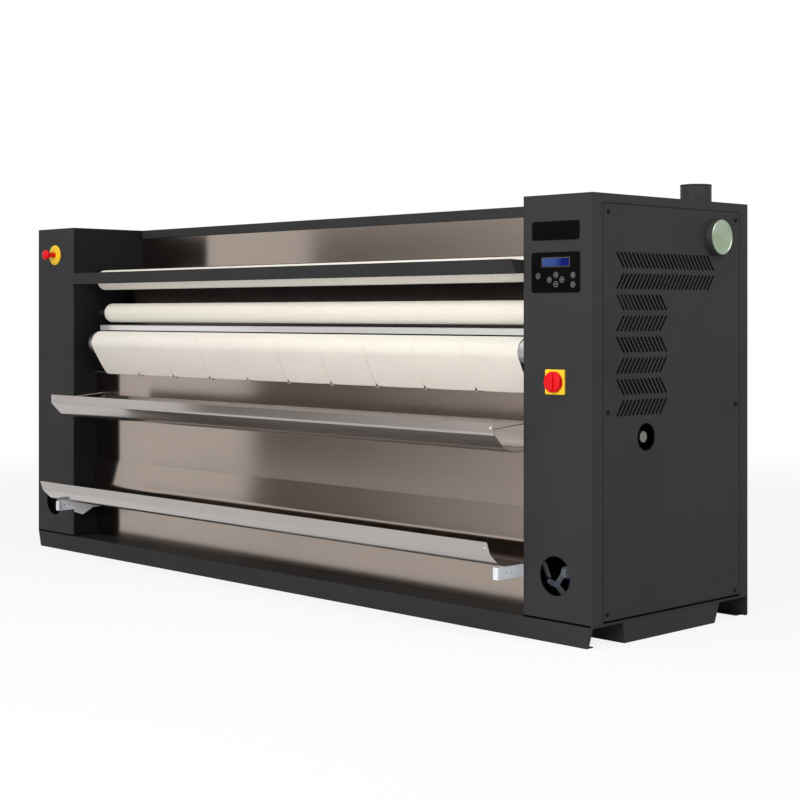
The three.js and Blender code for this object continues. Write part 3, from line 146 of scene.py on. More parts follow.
def colour_ramp(tree, value, stops):
    """Colours between stops of (place from 0 to 1, colour)."""
    node = add_node(tree, "ShaderNodeValToRGB")
    elements = node.color_ramp.elements
    while len(elements) < len(stops):
        elements.new(0.5)
    for element, (position, colour) in zip(elements, stops):
        element.position = position
        element.color = (*colour, 1.0)
    tree.links.new(value, node.inputs["Fac"])
    return node.outputs["Color"]


def share_along_x(tree, x0, x1):
    """0 at x0 and 1 at x1 of the measure frame."""
    place = add_node(tree, "ShaderNodeTexCoord")
    separate = add_node(tree, "ShaderNodeSeparateXYZ")
    ends = {"From Min": at(x0, 0, 0).x, "From Max": at(x1, 0, 0).x}
    span = add_node(tree, "ShaderNodeMapRange", ends)
    tree.links.new(place.outputs["Object"], separate.inputs[0])
    tree.links.new(separate.outputs["X"], span.inputs["Value"])
    return span.outputs["Result"]


def seen_directly(tree):
    """1 where a camera, glossy or transmission ray looks, and 0 for diffuse light."""
    rays = add_node(tree, "ShaderNodeLightPath").outputs
    seen = math_node(tree, "MAXIMUM", rays["Is Camera Ray"], rays["Is Glossy Ray"])
    return math_node(tree, "MAXIMUM", seen, rays["Is Transmission Ray"])


def stage_card(name, corners, material):
    """Flat four-cornered piece of the studio."""
    mesh = bpy.data.meshes.new(name)
    mesh.from_pydata(corners, [], [(0, 1, 2, 3)])
    mesh.materials.append(material)
    card = new_object(name, mesh)
    return card


AMBIENT = 0.34
BACKDROP = 1.0
WHITE = (1.0, 1.0, 1.0, 1.0)

world = bpy.data.worlds.new("studio")
scene.world = world
world_tree = node_tree(world)
ambient, backdrop = [
    add_node(world_tree, "ShaderNodeBackground", {"Color": WHITE, "Strength": strength})
    for strength in (AMBIENT, BACKDROP)
]
mix_to_output(world_tree, seen_directly(world_tree), ambient, backdrop, "ShaderNodeOutputWorld")

FLOOR_HALF = 30.0
FLOOR_COLOUR = (0.7, 0.7, 0.7, 1.0)
FLOOR_GLOW = 0.86
FADE_FROM, FADE_TO = 3.2, 7.0


def floor():
    """Pale floor that turns into the white backdrop away from the machine and its shadow."""
    material = bpy.data.materials.new("floor")
    tree = node_tree(material)
    diffuse = add_node(tree, "ShaderNodeBsdfDiffuse", {"Color": FLOOR_COLOUR})
    glow = add_node(tree, "ShaderNodeEmission", {"Color": WHITE})
    place = add_node(tree, "ShaderNodeTexCoord")
    distance = add_node(tree, "ShaderNodeVectorMath")
    distance.operation = "LENGTH"
    tree.links.new(place.outputs["Object"], distance.inputs[0])
    reach = {"From Min": FADE_FROM, "From Max": FADE_TO, "To Min": FLOOR_GLOW}
    fade = add_node(tree, "ShaderNodeMapRange", reach)
    fade.interpolation_type = "SMOOTHSTEP"
    tree.links.new(distance.outputs["Value"], fade.inputs["Value"])
    share = math_node(tree, "MULTIPLY", seen_directly(tree), fade.outputs["Result"])
    mix_to_output(tree, share, diffuse, glow, "ShaderNodeOutputMaterial")
    corners = [(-1, -1), (1, -1), (1, 1), (-1, 1)]
    stage_card("floor", [(x * FLOOR_HALF, y * FLOOR_HALF, 0) for x, y in corners], material)


floor()

FLAG_Y, FLAG_HEIGHT = -2350, 1700
FLAG_TINT = (1.0, 0.97, 0.95)


def flag(name, x0, x1, shades):
    """Upright dark studio card in front of the machine, which only its reflections show.
    shades are (share of the way from x0 to x1, grey)."""
    material = bpy.data.materials.new(name)
    tree = node_tree(material)
    stops = [(share, [level * tint for tint in FLAG_TINT]) for share, level in shades]
    glow = add_node(tree, "ShaderNodeEmission")
    tree.links.new(colour_ramp(tree, share_along_x(tree, x0, x1), stops), glow.inputs["Color"])
    output = add_node(tree, "ShaderNodeOutputMaterial")
    tree.links.new(glow.outputs[0], output.inputs["Surface"])
    corners = [(x0, 0), (x1, 0), (x1, FLAG_HEIGHT), (x0, FLAG_HEIGHT)]
    card = stage_card(name, [at(x, FLAG_Y, z) for x, z in corners], material)
    card.visible_camera = False
    card.visible_diffuse = False
    card.visible_transmission = False
    card.visible_shadow = False


flag("middle_flag", -1650, 1700, [(0, 0.17), (0.3, 0.28), (0.66, 0.62), (1, 1.0)])
flag("left_flag", -6000, -3400, [(0, 0.28), (1, 0.28)])

# ------------------------ materials

CLEAR_COAT_ROUGHNESS = 0.15
NOISE_ROUGHNESS = 0.55
# The wave texture draws this many ridges a metre at a scale of 1.
WAVE_RIDGES = 20 / math.tau
FOLD_RADIUS_MM = 6
FOLD_SAMPLES = 4


class Finish:
    """A Principled material built from object-space patterns."""

    def __init__(self, name, metallic=0.0, specular=0.5, anisotropic=0.0, sheen=0.0, coat=0.0):
        self.material = bpy.data.materials.new(name)
        self.tree = node_tree(self.material)
        self.shader = self.node("ShaderNodeBsdfPrincipled", {
            "Metallic": metallic,
            "Specular IOR Level": specular,
            "Anisotropic": anisotropic,
            "Sheen Weight": sheen,
            "Coat Weight": coat,
            "Coat Roughness": CLEAR_COAT_ROUGHNESS,
        })
        output = self.node("ShaderNodeOutputMaterial")
        self.link(self.shader.outputs["BSDF"], output.inputs["Surface"])
        self.place = self.node("ShaderNodeTexCoord").outputs["Object"]
        self.normal = None

    def node(self, kind, values=None):
        return add_node(self.tree, kind, values)

    def link(self, source, target):
        self.tree.links.new(source, target)

    def noise(self, scale, detail):
        """Noise in 0 to 1; scale is in cycles a metre, one figure or one for each axis."""
        scales = scale if isinstance(scale, tuple) else (scale, scale, scale)
        mapping = self.node("ShaderNodeMapping", {"Scale": scales})
        self.link(self.place, mapping.inputs["Vector"])
        settings = {"Scale": 1.0, "Detail": detail, "Roughness": NOISE_ROUGHNESS}
        texture = self.node("ShaderNodeTexNoise", settings)
        self.link(mapping.outputs["Vector"], texture.inputs["Vector"])
        return texture.outputs["Fac"]

    def threads(self, scale, along):
        """Sine ridges across one axis, scale cycles a metre."""
        settings = {"Scale": scale / WAVE_RIDGES, "Distortion": 0.6, "Detail": 1.0}
        wave = self.node("ShaderNodeTexWave", settings)
        wave.wave_type = "BANDS"
        wave.bands_direction = along
        self.link(self.place, wave.inputs["Vector"])
        return wave.outputs["Fac"]

    def ramp(self, value, *stops):
        return colour_ramp(self.tree, value, stops)

    def multiply(self, first, second):
        node = self.node("ShaderNodeMix")
        node.data_type = "RGBA"
        node.blend_type = "MULTIPLY"
        node.inputs["Factor"].default_value = 1.0
        self.link(first, node.inputs["A"])
        self.link(second, node.inputs["B"])
        return node.outputs["Result"]

    def colour(self, source):
        self.link(source, self.shader.inputs["Base Color"])

    def metal_colour(self, colour, lines, line_shade, cloud, cloud_shade):
        """Darker lines and broad darker patches on a metal's colour."""
        streak = self.ramp(lines, (0.25, shade(colour, line_shade)), (0.75, colour))
        patch = self.ramp(cloud, (0.3, grey(cloud_shade)), (0.7, grey(1)))
        self.colour(self.multiply(streak, patch))

    def eased_edges(self):
        """Shade the folds of sheet metal as if they were rounded."""
        node = self.node("ShaderNodeBevel", {"Radius": FOLD_RADIUS_MM / 1000})
        node.samples = FOLD_SAMPLES
        self.normal = node.outputs["Normal"]

    def roughness(self, value, low, high):
        node = self.node("ShaderNodeMapRange", {"To Min": low, "To Max": high})
        self.link(value, node.inputs["Value"])
        self.link(node.outputs["Result"], self.shader.inputs["Roughness"])

    def bump(self, height, distance_mm, strength):
        settings = {"Distance": distance_mm / 1000, "Strength": strength}
        node = self.node("ShaderNodeBump", settings)
        self.link(height, node.inputs["Height"])
        if self.normal is not None:
            self.link(self.normal, node.inputs["Normal"])
        self.normal = node.outputs["Normal"]
        self.link(self.normal, self.shader.inputs["Normal"])


def grey(level):
    return (level, level, level)


def shade(colour, factor):
    return tuple(min(1.0, channel * factor) for channel in colour)


def powder_coat(name, colour):
    finish = Finish(name, specular=0.07)
    finish.eased_edges()
    grain = finish.noise(900, detail=2.0)
    cloud = finish.noise(3, detail=2.0)
    broad = finish.ramp(cloud, (0.3, shade(colour, 0.93)), (0.7, shade(colour, 1.07)))
    fine = finish.ramp(grain, (0.3, grey(0.86)), (0.7, grey(1)))
    finish.colour(finish.multiply(broad, fine))
    finish.roughness(grain, 0.42, 0.56)
    finish.bump(grain, 0.08, 0.5)
    return finish.material


def brushed(name, colour, rough=(0.2, 0.3), metallic=1.0):
    """Sheet brushed along X."""
    finish = Finish(name, metallic=metallic, anisotropic=0.85)
    lines = finish.noise((6, 900, 900), detail=3.0)
    cloud = finish.noise((2.2, 2.2, 5.0), detail=2.0)
    # The grain lies along X on the upright front sheets, so highlights spread up and down.
    finish.shader.inputs["Anisotropic Rotation"].default_value = 0.25
    tangent = finish.node("ShaderNodeTangent")
    tangent.direction_type = "RADIAL"
    tangent.axis = "Z"
    finish.link(tangent.outputs["Tangent"], finish.shader.inputs["Tangent"])
    finish.metal_colour(colour, lines, 0.93, cloud, 0.95)
    finish.roughness(lines, *rough)
    finish.bump(lines, 0.01, 0.2)
    return finish.material


def metal(name, colour, rough=(0.25, 0.42), grain=300, metallic=1.0):
    finish = Finish(name, metallic=metallic)
    lines = finish.noise(grain, detail=3.0)
    cloud = finish.noise(14, detail=3.0)
    finish.metal_colour(colour, lines, 0.84, cloud, 0.88)
    finish.roughness(cloud, *rough)
    finish.bump(lines, 0.03, 0.35)
    return finish.material


def woven(name, colour, thread=620, soil=0.05):
    """Woven cotton: crossed threads, with faint soiling in broad patches."""
    finish = Finish(name, specular=0.2, sheen=0.25)
    warp, weft = finish.threads(thread, "X"), finish.threads(thread, "Z")
    weave = math_node(finish.tree, "MULTIPLY", warp, weft)
    cloud = finish.noise((4, 12, 12), detail=4.0)
    slub = finish.noise((40, 500, 500), detail=2.0)
    broad = finish.ramp(cloud, (0.3, shade(colour, 1 - soil)), (0.7, colour))
    fine = finish.ramp(weave, (0.0, (0.9, 0.89, 0.87)), (0.6, grey(1)))
    thready = finish.ramp(slub, (0.3, (0.95, 0.95, 0.94)), (0.7, grey(1)))
    finish.colour(finish.multiply(finish.multiply(broad, fine), thready))
    finish.roughness(cloud, 0.82, 0.95)
    finish.bump(weave, 0.25, 0.6)
    finish.bump(slub, 0.2, 0.4)
    return finish.material


def plastic(name, colour, rough=(0.28, 0.4), specular=0.5):
    finish = Finish(name, specular=specular)
    grain = finish.noise(1400, detail=2.0)
    cloud = finish.noise(30, detail=2.0)
    finish.colour(finish.ramp(cloud, (0.3, shade(colour, 0.94)), (0.7, shade(colour, 1.05))))
    finish.roughness(cloud, *rough)
    finish.bump(grain, 0.03, 0.4)
    return finish.material


def lit_screen(name):
    """Backlit liquid-crystal window, brighter towards its left end."""
    finish = Finish(name, specular=0.05)
    share = share_along_x(finish.tree, CONTROL_X - 54, CONTROL_X + 58)
    left, middle, right = (0.032, 0.056, 0.17), (0.02, 0.045, 0.16), (0.003, 0.005, 0.09)
    glow = finish.ramp(share, (0.0, left), (0.45, middle), (0.75, right))
    finish.colour(glow)
    finish.roughness(finish.noise(900, detail=1.0), 0.14, 0.22)
    finish.link(glow, finish.shader.inputs["Emission Color"])
    finish.shader.inputs["Emission Strength"].default_value = 0.15
    return finish.material


def mirror_face(name):
    """Greenish mirror-like disc with cloudy bands."""
    finish = Finish(name, metallic=0.85, coat=0.3)
    cloud = finish.noise((9, 9, 16), detail=2.0)
    dark, middle, pale = (0.24, 0.32, 0.19), (0.29, 0.37, 0.26), (0.38, 0.43, 0.38)
    finish.colour(finish.ramp(cloud, (0.3, dark), (0.55, middle), (0.75, pale)))
    finish.roughness(cloud, 0.18, 0.3)
    finish.bump(cloud, 0.1, 0.3)
    return finish.material


COAT = powder_coat("anthracite_coat", (0.0315, 0.0315, 0.0327))
# Darker copy of the coat: painted shade on the inner walls and in the side panels' gaps, and the
# dark screws and skirt returns.
DARK_COAT_AND_PAINTED_SHADE = powder_coat("dark_coat_and_painted_shade", (0.009, 0.009, 0.0095))
PANEL_STEEL = brushed("brushed_panel", (0.385, 0.325, 0.283), rough=(0.12, 0.18))
TRAY_STEEL = brushed("brushed_tray", (0.46, 0.421, 0.396), rough=(0.14, 0.2), metallic=0.93)
PLATE_STEEL = brushed("polished_plate", (0.69, 0.69, 0.68), metallic=0.5)
ZINC = metal("zinc_plate", (0.8, 0.83, 0.88), metallic=0.1)
SPRING_WIRE = metal("spring_wire", (0.85, 0.86, 0.88), metallic=0.2)
STEEL = metal("turned_steel", (0.5, 0.5, 0.51))
CHAIN_STEEL = metal("oiled_chain", (0.2, 0.19, 0.18), rough=(0.3, 0.5))
DRUM = metal("polished_drum", (0.11, 0.1, 0.105), rough=(0.12, 0.22), grain=(4, 500, 500))
BELT_COTTON = woven("belt_cotton", (0.82, 0.775, 0.71))
ROLLER_COTTON = woven("roller_cotton", (0.8, 0.76, 0.68), thread=420)
BLANKET_FELT = woven("blanket_felt", (0.74, 0.68, 0.56), thread=260, soil=0.12)
YELLOW = plastic("safety_yellow", (0.8, 0.49, 0.008), specular=0.3)
RED = plastic("safety_red", (0.62, 0.003, 0.008), specular=0.15)
BLACK_PLASTIC = plastic("keypad_black", (0.0018, 0.0018, 0.002), rough=(0.5, 0.6), specular=0.02)
BLACK_RUBBER = plastic("black_rubber", grey(0.012), rough=(0.5, 0.65))
MOTOR_BLUE = powder_coat("motor_blue", (0.03, 0.12, 0.26))
INK = plastic("keypad_ink", (0.24, 0.24, 0.25), specular=0.1)
INK_GREY = plastic("keypad_ring", (0.16, 0.16, 0.165), specular=0.1)
SCREEN_BLUE = lit_screen("screen_blue")
PORT_MIRROR = mirror_face("port_mirror")
# Near-black: painted shadow in the seams and gaps, and the crank grommet's own black rubber.
GAP_SHADOW_AND_GROMMET_BLACK = plastic("gap_shadow_and_grommet_black", grey(0.002), rough=(0.85, 0.95), specular=0.02)
SCREW_BRIGHT = metal("screw_bright", (0.75, 0.76, 0.78), rough=(0.2, 0.3))

SLOT_MATERIALS = {
    "coat": COAT,
    # Inner walls take the darker copy of the coat as painted shade.
    "coat_inner": DARK_COAT_AND_PAINTED_SHADE,
    "stainless": PANEL_STEEL,
    "zinc": ZINC,
    "steel": STEEL,
    "drum": DRUM,
    "cloth": BELT_COTTON,
    "safety_yellow": YELLOW,
    "safety_red": RED,
    "black_plastic": BLACK_PLASTIC,
    "motor_blue": MOTOR_BLUE,
}
NODE_MATERIALS = {
    "upper_tray": TRAY_STEEL,
    "lower_tray": TRAY_STEEL,
    "exit_plate": PLATE_STEEL,
    "drive_chain": CHAIN_STEEL,
    "crank_shaft": CHAIN_STEEL,
    "tension_spring": SPRING_WIRE,
}
EDGED_SLOTS = ("coat", "stainless", "zinc")
EDGE_RADIUS_MM = 0.8
EDGE_ANGLE = math.radians(50)

for entry in frame["record"]["subparts"]:
    cad_node = frame["nodes"][entry["node"]]
    material = NODE_MATERIALS.get(entry["node"], SLOT_MATERIALS[entry["material_slot"]])
    cad_node.data.materials.clear()
    cad_node.data.materials.append(material)
    if entry["material_slot"] in EDGED_SLOTS:
        edge = cad_node.modifiers.new("edge", "BEVEL")
        edge.width = EDGE_RADIUS_MM / 1000
        edge.segments = 2
        edge.limit_method = "ANGLE"
        edge.angle_limit = EDGE_ANGLE
        edge.harden_normals = True

# ------------------------ shape makers

SMALLEST_RADIUS = 1e-4
WELD_DISTANCE = 2e-6
FLATTEST_MITRE = 0.3
BEVEL_SHOULDER = 0.3  # of the bevel, where its first facet ends
SCREW_HEAD_HEIGHT = 0.55  # of its radius
CORNER_STEPS, BEND_STEPS = 6, 8
LARGE_SIDES, BUTTON_SIDES, ROLLER_SIDES = 96, 72, 64


def on_axis(axis, along, a, b):
    """Corner whose place along the axis comes first: (a, b) is (Y, Z), (X, Z) or (X, Y)."""
    return {"X": (along, a, b), "Y": (a, along, b), "Z": (a, b, along)}[axis]


def circle(a, b, radius, count):
    steps = [math.tau * i / count for i in range(count)]
    return [(a + radius * math.cos(t), b + radius * math.sin(t)) for t in steps]


def rounded_rectangle(a, b, width, height, radius):
    corners = [(1, 1), (-1, 1), (-1, -1), (1, -1)]
    outline = []
    for corner, (sa, sb) in enumerate(corners):
        for i in range(CORNER_STEPS + 1):
            turn = math.pi / 2 * (corner + i / CORNER_STEPS)
            outline.append((
                a + sa * (width / 2 - radius) + radius * math.cos(turn),
                b + sb * (height / 2 - radius) + radius * math.sin(turn),
            ))
    return outline


def mitre(back, ahead):
    """Direction to the left of a bend, and the share of it that is square to the line."""
    lean = Vector((-back.y - ahead.y, back.x + ahead.x)).normalized()
    return lean, lean.dot(Vector((-back.y, back.x)))


def offset_outline(outline, distance):
    """Closed anticlockwise outline moved inwards by a distance."""
    moved = []
    for i, point in enumerate(outline):
        here = Vector(point)
        back = (here - Vector(outline[i - 1])).normalized()
        ahead = (Vector(outline[(i + 1) % len(outline)]) - here).normalized()
        lean, square = mitre(back, ahead)
        moved.append(tuple(here + lean * (distance / max(FLATTEST_MITRE, square))))
    return moved


class Shape:
    """Gathers closed forms, in millimetres of the measure frame, into one mesh piece."""

    def __init__(self):
        self.points = []
        self.faces = []

    def rings(self, rings, closed=False, caps=True):
        """Skins rings of equal count; caps fill the first and last ring."""
        count = len(rings[0])
        first = len(self.points)
        for ring in rings:
            self.points.extend(ring)
        spans = len(rings) if closed else len(rings) - 1
        for r in range(spans):
            low = first + r * count
            high = first + (r + 1) % len(rings) * count
            for k in range(count):
                n = (k + 1) % count
                self.faces.append((low + k, low + n, high + n, high + k))
        if caps and not closed:
            self.faces.append(tuple(range(first, first + count)))
            last = first + (len(rings) - 1) * count
            self.faces.append(tuple(range(last, last + count)))
        return self

    def turned(self, axis, centre, profile, segments=48, closed=False):
        """Profile of (radius, place along the axis) turned about centre (a, b)."""
        rings = [
            [
                on_axis(axis, along, a, b)
                for a, b in circle(*centre, max(radius, SMALLEST_RADIUS), segments)
            ]
            for radius, along in profile
        ]
        return self.rings(rings, closed=closed, caps=not closed)

    def prism(self, axis, outline, start, end, bevel=0.0):
        """Outline swept from start to end, with a bevel round the end face."""
        lean = math.copysign(bevel, end - start)
        levels = [(outline, start), (outline, end - lean)]
        if bevel:
            shoulder = offset_outline(outline, bevel * BEVEL_SHOULDER)
            levels.append((shoulder, end - lean * BEVEL_SHOULDER))
            levels.append((offset_outline(outline, bevel), end))
        return self.rings([
            [on_axis(axis, along, a, b) for a, b in ring] for ring, along in levels
        ])

    def block(self, low, high):
        """Box between its lowest and its highest corner."""
        outline = [(low[0], low[1]), (high[0], low[1]), (high[0], high[1]), (low[0], high[1])]
        return self.prism("Z", outline, low[2], high[2])

    def folded(self, path, thickness, x0, x1):
        """Bent sheet: a path in Y and Z, thickened to its left, from x0 to x1."""
        line = [Vector(point) for point in path]
        other = []
        for i, point in enumerate(line):
            back = (point - line[i - 1]).normalized() if i else (line[1] - point).normalized()
            ahead = (line[i + 1] - point).normalized() if i < len(line) - 1 else back
            lean, square = mitre(back, ahead)
            other.append(point + lean * (thickness / square))
        outline = [tuple(point) for point in line + other[::-1]]
        count, first = len(outline), len(self.points)
        self.rings([[(x, y, z) for y, z in outline] for x in (x0, x1)], caps=False)
        for start in (first, first + count):
            for k in range(len(line) - 1):
                n = start + count - 1 - k
                self.faces.append((start + k, start + k + 1, n - 1, n))
        return self

    def screw(self, axis, place, radius, outwards=1):
        """Round-headed screw with a socket; place is its seat, outwards its side."""
        high = radius * SCREW_HEAD_HEIGHT
        index = "XYZ".index(axis)
        seat = place[index]
        centre = tuple(value for i, value in enumerate(place) if i != index)
        profile = [
            (radius, -0.5), (radius, high * 0.35), (radius * 0.88, high * 0.8),
            (radius * 0.62, high), (radius * 0.42, high), (radius * 0.36, high * 0.35),
            (0, high * 0.3),
        ]
        return self.turned(
            axis, centre, [(r, seat + outwards * along) for r, along in profile], segments=24
        )

    def piece(self, name, material, body, slot, sharp=35):
        """Finish the forms as one object; edges over the sharp angle stay crisp."""
        mesh = bpy.data.meshes.new(name)
        mesh.from_pydata([at(*point) for point in self.points], [], self.faces)
        shape = bmesh.new()
        shape.from_mesh(mesh)
        bmesh.ops.remove_doubles(shape, verts=shape.verts, dist=WELD_DISTANCE)
        bmesh.ops.recalc_face_normals(shape, faces=shape.faces)
        shape.to_mesh(mesh)
        shape.free()
        mesh.shade_smooth()
        mesh.set_sharp_from_angle(angle=math.radians(sharp))
        mesh.materials.append(material)
        made = new_object(name, mesh)
        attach(made, body)
        return made


def softened(path, radii):
    """Path with its inner corners turned into curves of about the given radii."""
    points = [Vector(path[0])]
    for before, corner, after, radius in zip(path, path[1:], path[2:], radii):
        corner = Vector(corner)
        back, ahead = Vector(before) - corner, Vector(after) - corner
        reach = min(radius, back.length / 2, ahead.length / 2)
        start, end = corner + back.normalized() * reach, corner + ahead.normalized() * reach
        for k in range(BEND_STEPS + 1):
            t = k / BEND_STEPS
            points.append(start * (1 - t) ** 2 + corner * 2 * t * (1 - t) + end * t * t)
    points.append(Vector(path[-1]))
    return [tuple(point) for point in points]


# ------------------------ belts and blanket

CLEARANCE = 0.3
BELT_STEP = 7.0
BELT_TURN = math.radians(8)
NOSE_BAR = (115.4, 803.5, 4.5)
APRON_ROLLER = (95, 936, 49)
FEED_ROLLER = (127, 1216, 41)
FEED_NIP_ROLLER = (245, 1237, 20)
EXIT_ROLLER = (153, 1069, 42)
BLANKET_ROLLERS = {
    "blanket_top_roller": (420, 1280, 28),
    "blanket_exit_roller": (194, 921.5, 25),
    "blanket_lower_roller": (520, 770, 28),
    "blanket_rear_roller": (680, 1190, 28),
}
CYLINDER = (400, 1040, 205)


def belt_line(wheels, thickness, step=BELT_STEP):
    """Inner line of a belt round wheels (Y, Z, radius, side): points, outward directions and
    whether each point lies on a straight run, from 0 at its ends to 1 in its middle."""
    span = 2 * CLEARANCE + thickness
    signed = [
        r + CLEARANCE if side > 0 else -(r + span - CLEARANCE) for _, _, r, side in wheels
    ]
    count = len(wheels)
    leans = []
    for i, (y, z, _, _) in enumerate(wheels):
        n = (i + 1) % count
        dy, dz = wheels[n][0] - y, wheels[n][1] - z
        leans.append(math.atan2(dz, dy) + math.acos((signed[n] - signed[i]) / math.hypot(dy, dz)))
    line = []
    for i, (y, z, _, _) in enumerate(wheels):
        side = math.copysign(1, signed[i])
        start = leans[i - 1]
        turn = side * (((leans[i] - start) * side) % math.tau)
        steps = max(3, math.ceil(abs(turn) / BELT_TURN))
        for k in range(steps + 1):
            angle = start + turn * k / steps
            out = Vector((-math.cos(angle), -math.sin(angle)))
            line.append((Vector((y, z)) + out * signed[i], out, 0.0))
        n = (i + 1) % count
        out = Vector((-math.cos(leans[i]), -math.sin(leans[i])))
        here = Vector((y, z)) + out * signed[i]
        there = Vector(wheels[n][:2]) + out * signed[n]
        parts = max(1, round((there - here).length / step))
        for k in range(1, parts):
            share = k / parts
            line.append((here.lerp(there, share), out, math.sin(math.pi * share)))
    return line


def cloth_wave(x, along, lengths, seed):
    """Smooth waves from -1 to 1; lengths are their sizes across and along the cloth."""
    return noise.noise(Vector((x / lengths[0], along / lengths[1], seed)))


def belt(name, node, line, thickness, x_at, lift_at, stations, material):
    """Endless cloth belt. x_at(t, i) gives X for a share t of the width at path point i, and
    lift_at(t, i) how far the cloth stands off its path there."""
    shape = Shape()
    rings = []
    for k in range(stations + 1):
        t = k / stations
        inner, outer = [], []
        for i, (point, out, _) in enumerate(line):
            x = x_at(t, i)
            low = point + out * lift_at(t, i)
            high = low + out * thickness
            inner.append((x, low.x, low.y))
            outer.append((x, high.x, high.y))
        rings.append((inner, outer))
    count = len(line)
    for side in (0, 1):
        shape.rings([ring[side] for ring in rings], caps=False)
    for k in (0, stations):
        low, high = k * count, (stations + 1 + k) * count
        for i in range(count):
            n = (i + 1) % count
            shape.faces.append((low + i, low + n, high + n, high + i))
    made = shape.piece(name, material, FRAME, "cloth", sharp=60)
    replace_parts(made, node)
    width = (x_at(1, 0) - x_at(0, 0)) / 1000


BELT_COUNT = 10
BELT_FIRST_X = OPENING_LEFT + 95
BELT_PITCH = (OPENING_RIGHT - 65 - BELT_FIRST_X) / BELT_COUNT
BELT_GAP = 0.8
APRON_BELT_THICK = 1.8
CORNER_CUT, CORNER_HEIGHT, CORNER_POWER = 9, 15, 0.6
TIP_WIDTH, TIP_DROP, TIP_REACH, TIP_POWER = 8, 7, 10, 0.7
FIRST_BELT_FLARE = 18
APRON_SLACK, APRON_WAVE, APRON_RIPPLE = 1.6, 1.9, 0.5
NOSE_BELLY, NOSE_BELLY_REACH = 1.2, 60
APRON_WAVE_LENGTHS, APRON_RIPPLE_LENGTHS = (85, 150), (28, 60)
APRON_STATIONS = 26

apron_line = belt_line([(*NOSE_BAR, 1), (*APRON_ROLLER, 1)], APRON_BELT_THICK)
NOSE_LOW = Vector((NOSE_BAR[0], NOSE_BAR[1] - NOSE_BAR[2]))


def apron_belt(index):
    x0 = BELT_FIRST_X + index * BELT_PITCH
    width = BELT_PITCH - BELT_GAP
    seed = 11.3 * (index + 1)

    def near_nose(i, reach):
        away = (apron_line[i][0] - NOSE_LOW).length
        return max(0.0, 1 - away / reach)

    def x_at(t, i):
        cut = CORNER_CUT * near_nose(i, CORNER_HEIGHT) ** CORNER_POWER
        if index == 0:
            height = (apron_line[i][0].y - NOSE_BAR[1]) / (APRON_ROLLER[1] - NOSE_BAR[1])
            cut -= FIRST_BELT_FLARE * min(1.0, max(0.0, height))
        left = x0 + cut
        # Stations crowd towards both edges, where the corners are shaped.
        eased = 0.5 - 0.5 * math.cos(math.pi * t)
        return left + (x0 + width - left) * eased

    def lift_at(t, i):
        point, _, slack = apron_line[i]
        x = x_at(t, i)
        wave = cloth_wave(x, point.y, APRON_WAVE_LENGTHS, seed)
        ripple = cloth_wave(x, point.y, APRON_RIPPLE_LENGTHS, seed + 5)
        lift = slack * (APRON_SLACK + APRON_WAVE * wave + APRON_RIPPLE * ripple)
        tip = max(0.0, 1 - (x0 + width - x) / TIP_WIDTH)
        lift += TIP_DROP * tip * near_nose(i, TIP_REACH) ** TIP_POWER
        # Each belt bellies a little between its edges where it leaves the nose.
        across = min(1.0, max(0.0, (x - x0) / width))
        lift += NOSE_BELLY * near_nose(i, NOSE_BELLY_REACH) * math.sin(math.pi * across)
        return max(0.0, lift)

    belt(
        f"apron_cloth_{index + 1}", f"apron_belt_{index + 1}", apron_line, APRON_BELT_THICK,
        x_at, lift_at, APRON_STATIONS, BELT_COTTON,
    )


for index in range(BELT_COUNT):
    apron_belt(index)

FEED_BELT_THICK, FEED_BELT_PITCH = 2.5, 157.4
FEED_LAST_SEAM, FEED_SEAM_COUNT = 2746.7, 15
FEED_SEAMS = [FEED_LAST_SEAM - FEED_BELT_PITCH * k for k in reversed(range(FEED_SEAM_COUNT))]
FEED_ENDS = (OPENING_LEFT + 62, OPENING_RIGHT - 52)
FEED_BELT_GAP = 1.6
FEED_SLACK, FEED_WAVE_LENGTHS = 0.8, (60, 70)
FEED_STATIONS = 8

feed_line = belt_line([(*FEED_ROLLER, 1), (*FEED_NIP_ROLLER, 1)], FEED_BELT_THICK)


def feed_belt(index, x0, x1):
    seed = 7.7 * (index + 1)

    def x_at(t, i):
        return x0 + (x1 - x0) * t

    def lift_at(t, i):
        point, _, slack = feed_line[i]
        wave = cloth_wave(x_at(t, i), point.x, FEED_WAVE_LENGTHS, seed)
        return slack * max(0.0, FEED_SLACK + wave)

    belt(
        f"feed_cloth_{index + 1}", "feed_belt", feed_line, FEED_BELT_THICK,
        x_at, lift_at, FEED_STATIONS, BELT_COTTON,
    )


feed_edges = [FEED_ENDS[0], *FEED_SEAMS, FEED_ENDS[1]]
for index, (x0, x1) in enumerate(zip(feed_edges, feed_edges[1:])):
    feed_belt(index, x0 + FEED_BELT_GAP / 2, x1 - FEED_BELT_GAP / 2)

BLANKET_THICK, BLANKET_STEP = 3, 18.0
BLANKET_SLACK, BLANKET_WAVE, BLANKET_SEED = 0.6, 1.2, 3.1
BLANKET_WAVE_LENGTHS, BLANKET_STATIONS = (140, 160), 40
blanket_line = belt_line(
    [
        *((*BLANKET_ROLLERS[f"blanket_{place}_roller"], 1)
          for place in ("exit", "lower", "rear", "top")),
        (*CYLINDER, -1),
    ],
    BLANKET_THICK,
    step=BLANKET_STEP,
)
blanket_ends = (BELT_FIRST_X, BELT_FIRST_X + BELT_COUNT * BELT_PITCH - BELT_GAP)


def blanket_x(t, i):
    return blanket_ends[0] + (blanket_ends[1] - blanket_ends[0]) * t


def blanket_lift(t, i):
    point, _, slack = blanket_line[i]
    wave = cloth_wave(blanket_x(t, i), point.x, BLANKET_WAVE_LENGTHS, BLANKET_SEED)
    return slack * max(0.0, BLANKET_SLACK + BLANKET_WAVE * wave)


belt(
    "ironing_blanket_felt", "ironing_blanket", blanket_line, BLANKET_THICK,
    blanket_x, blanket_lift, BLANKET_STATIONS, BLANKET_FELT,
)

# ------------------------ rollers and drum

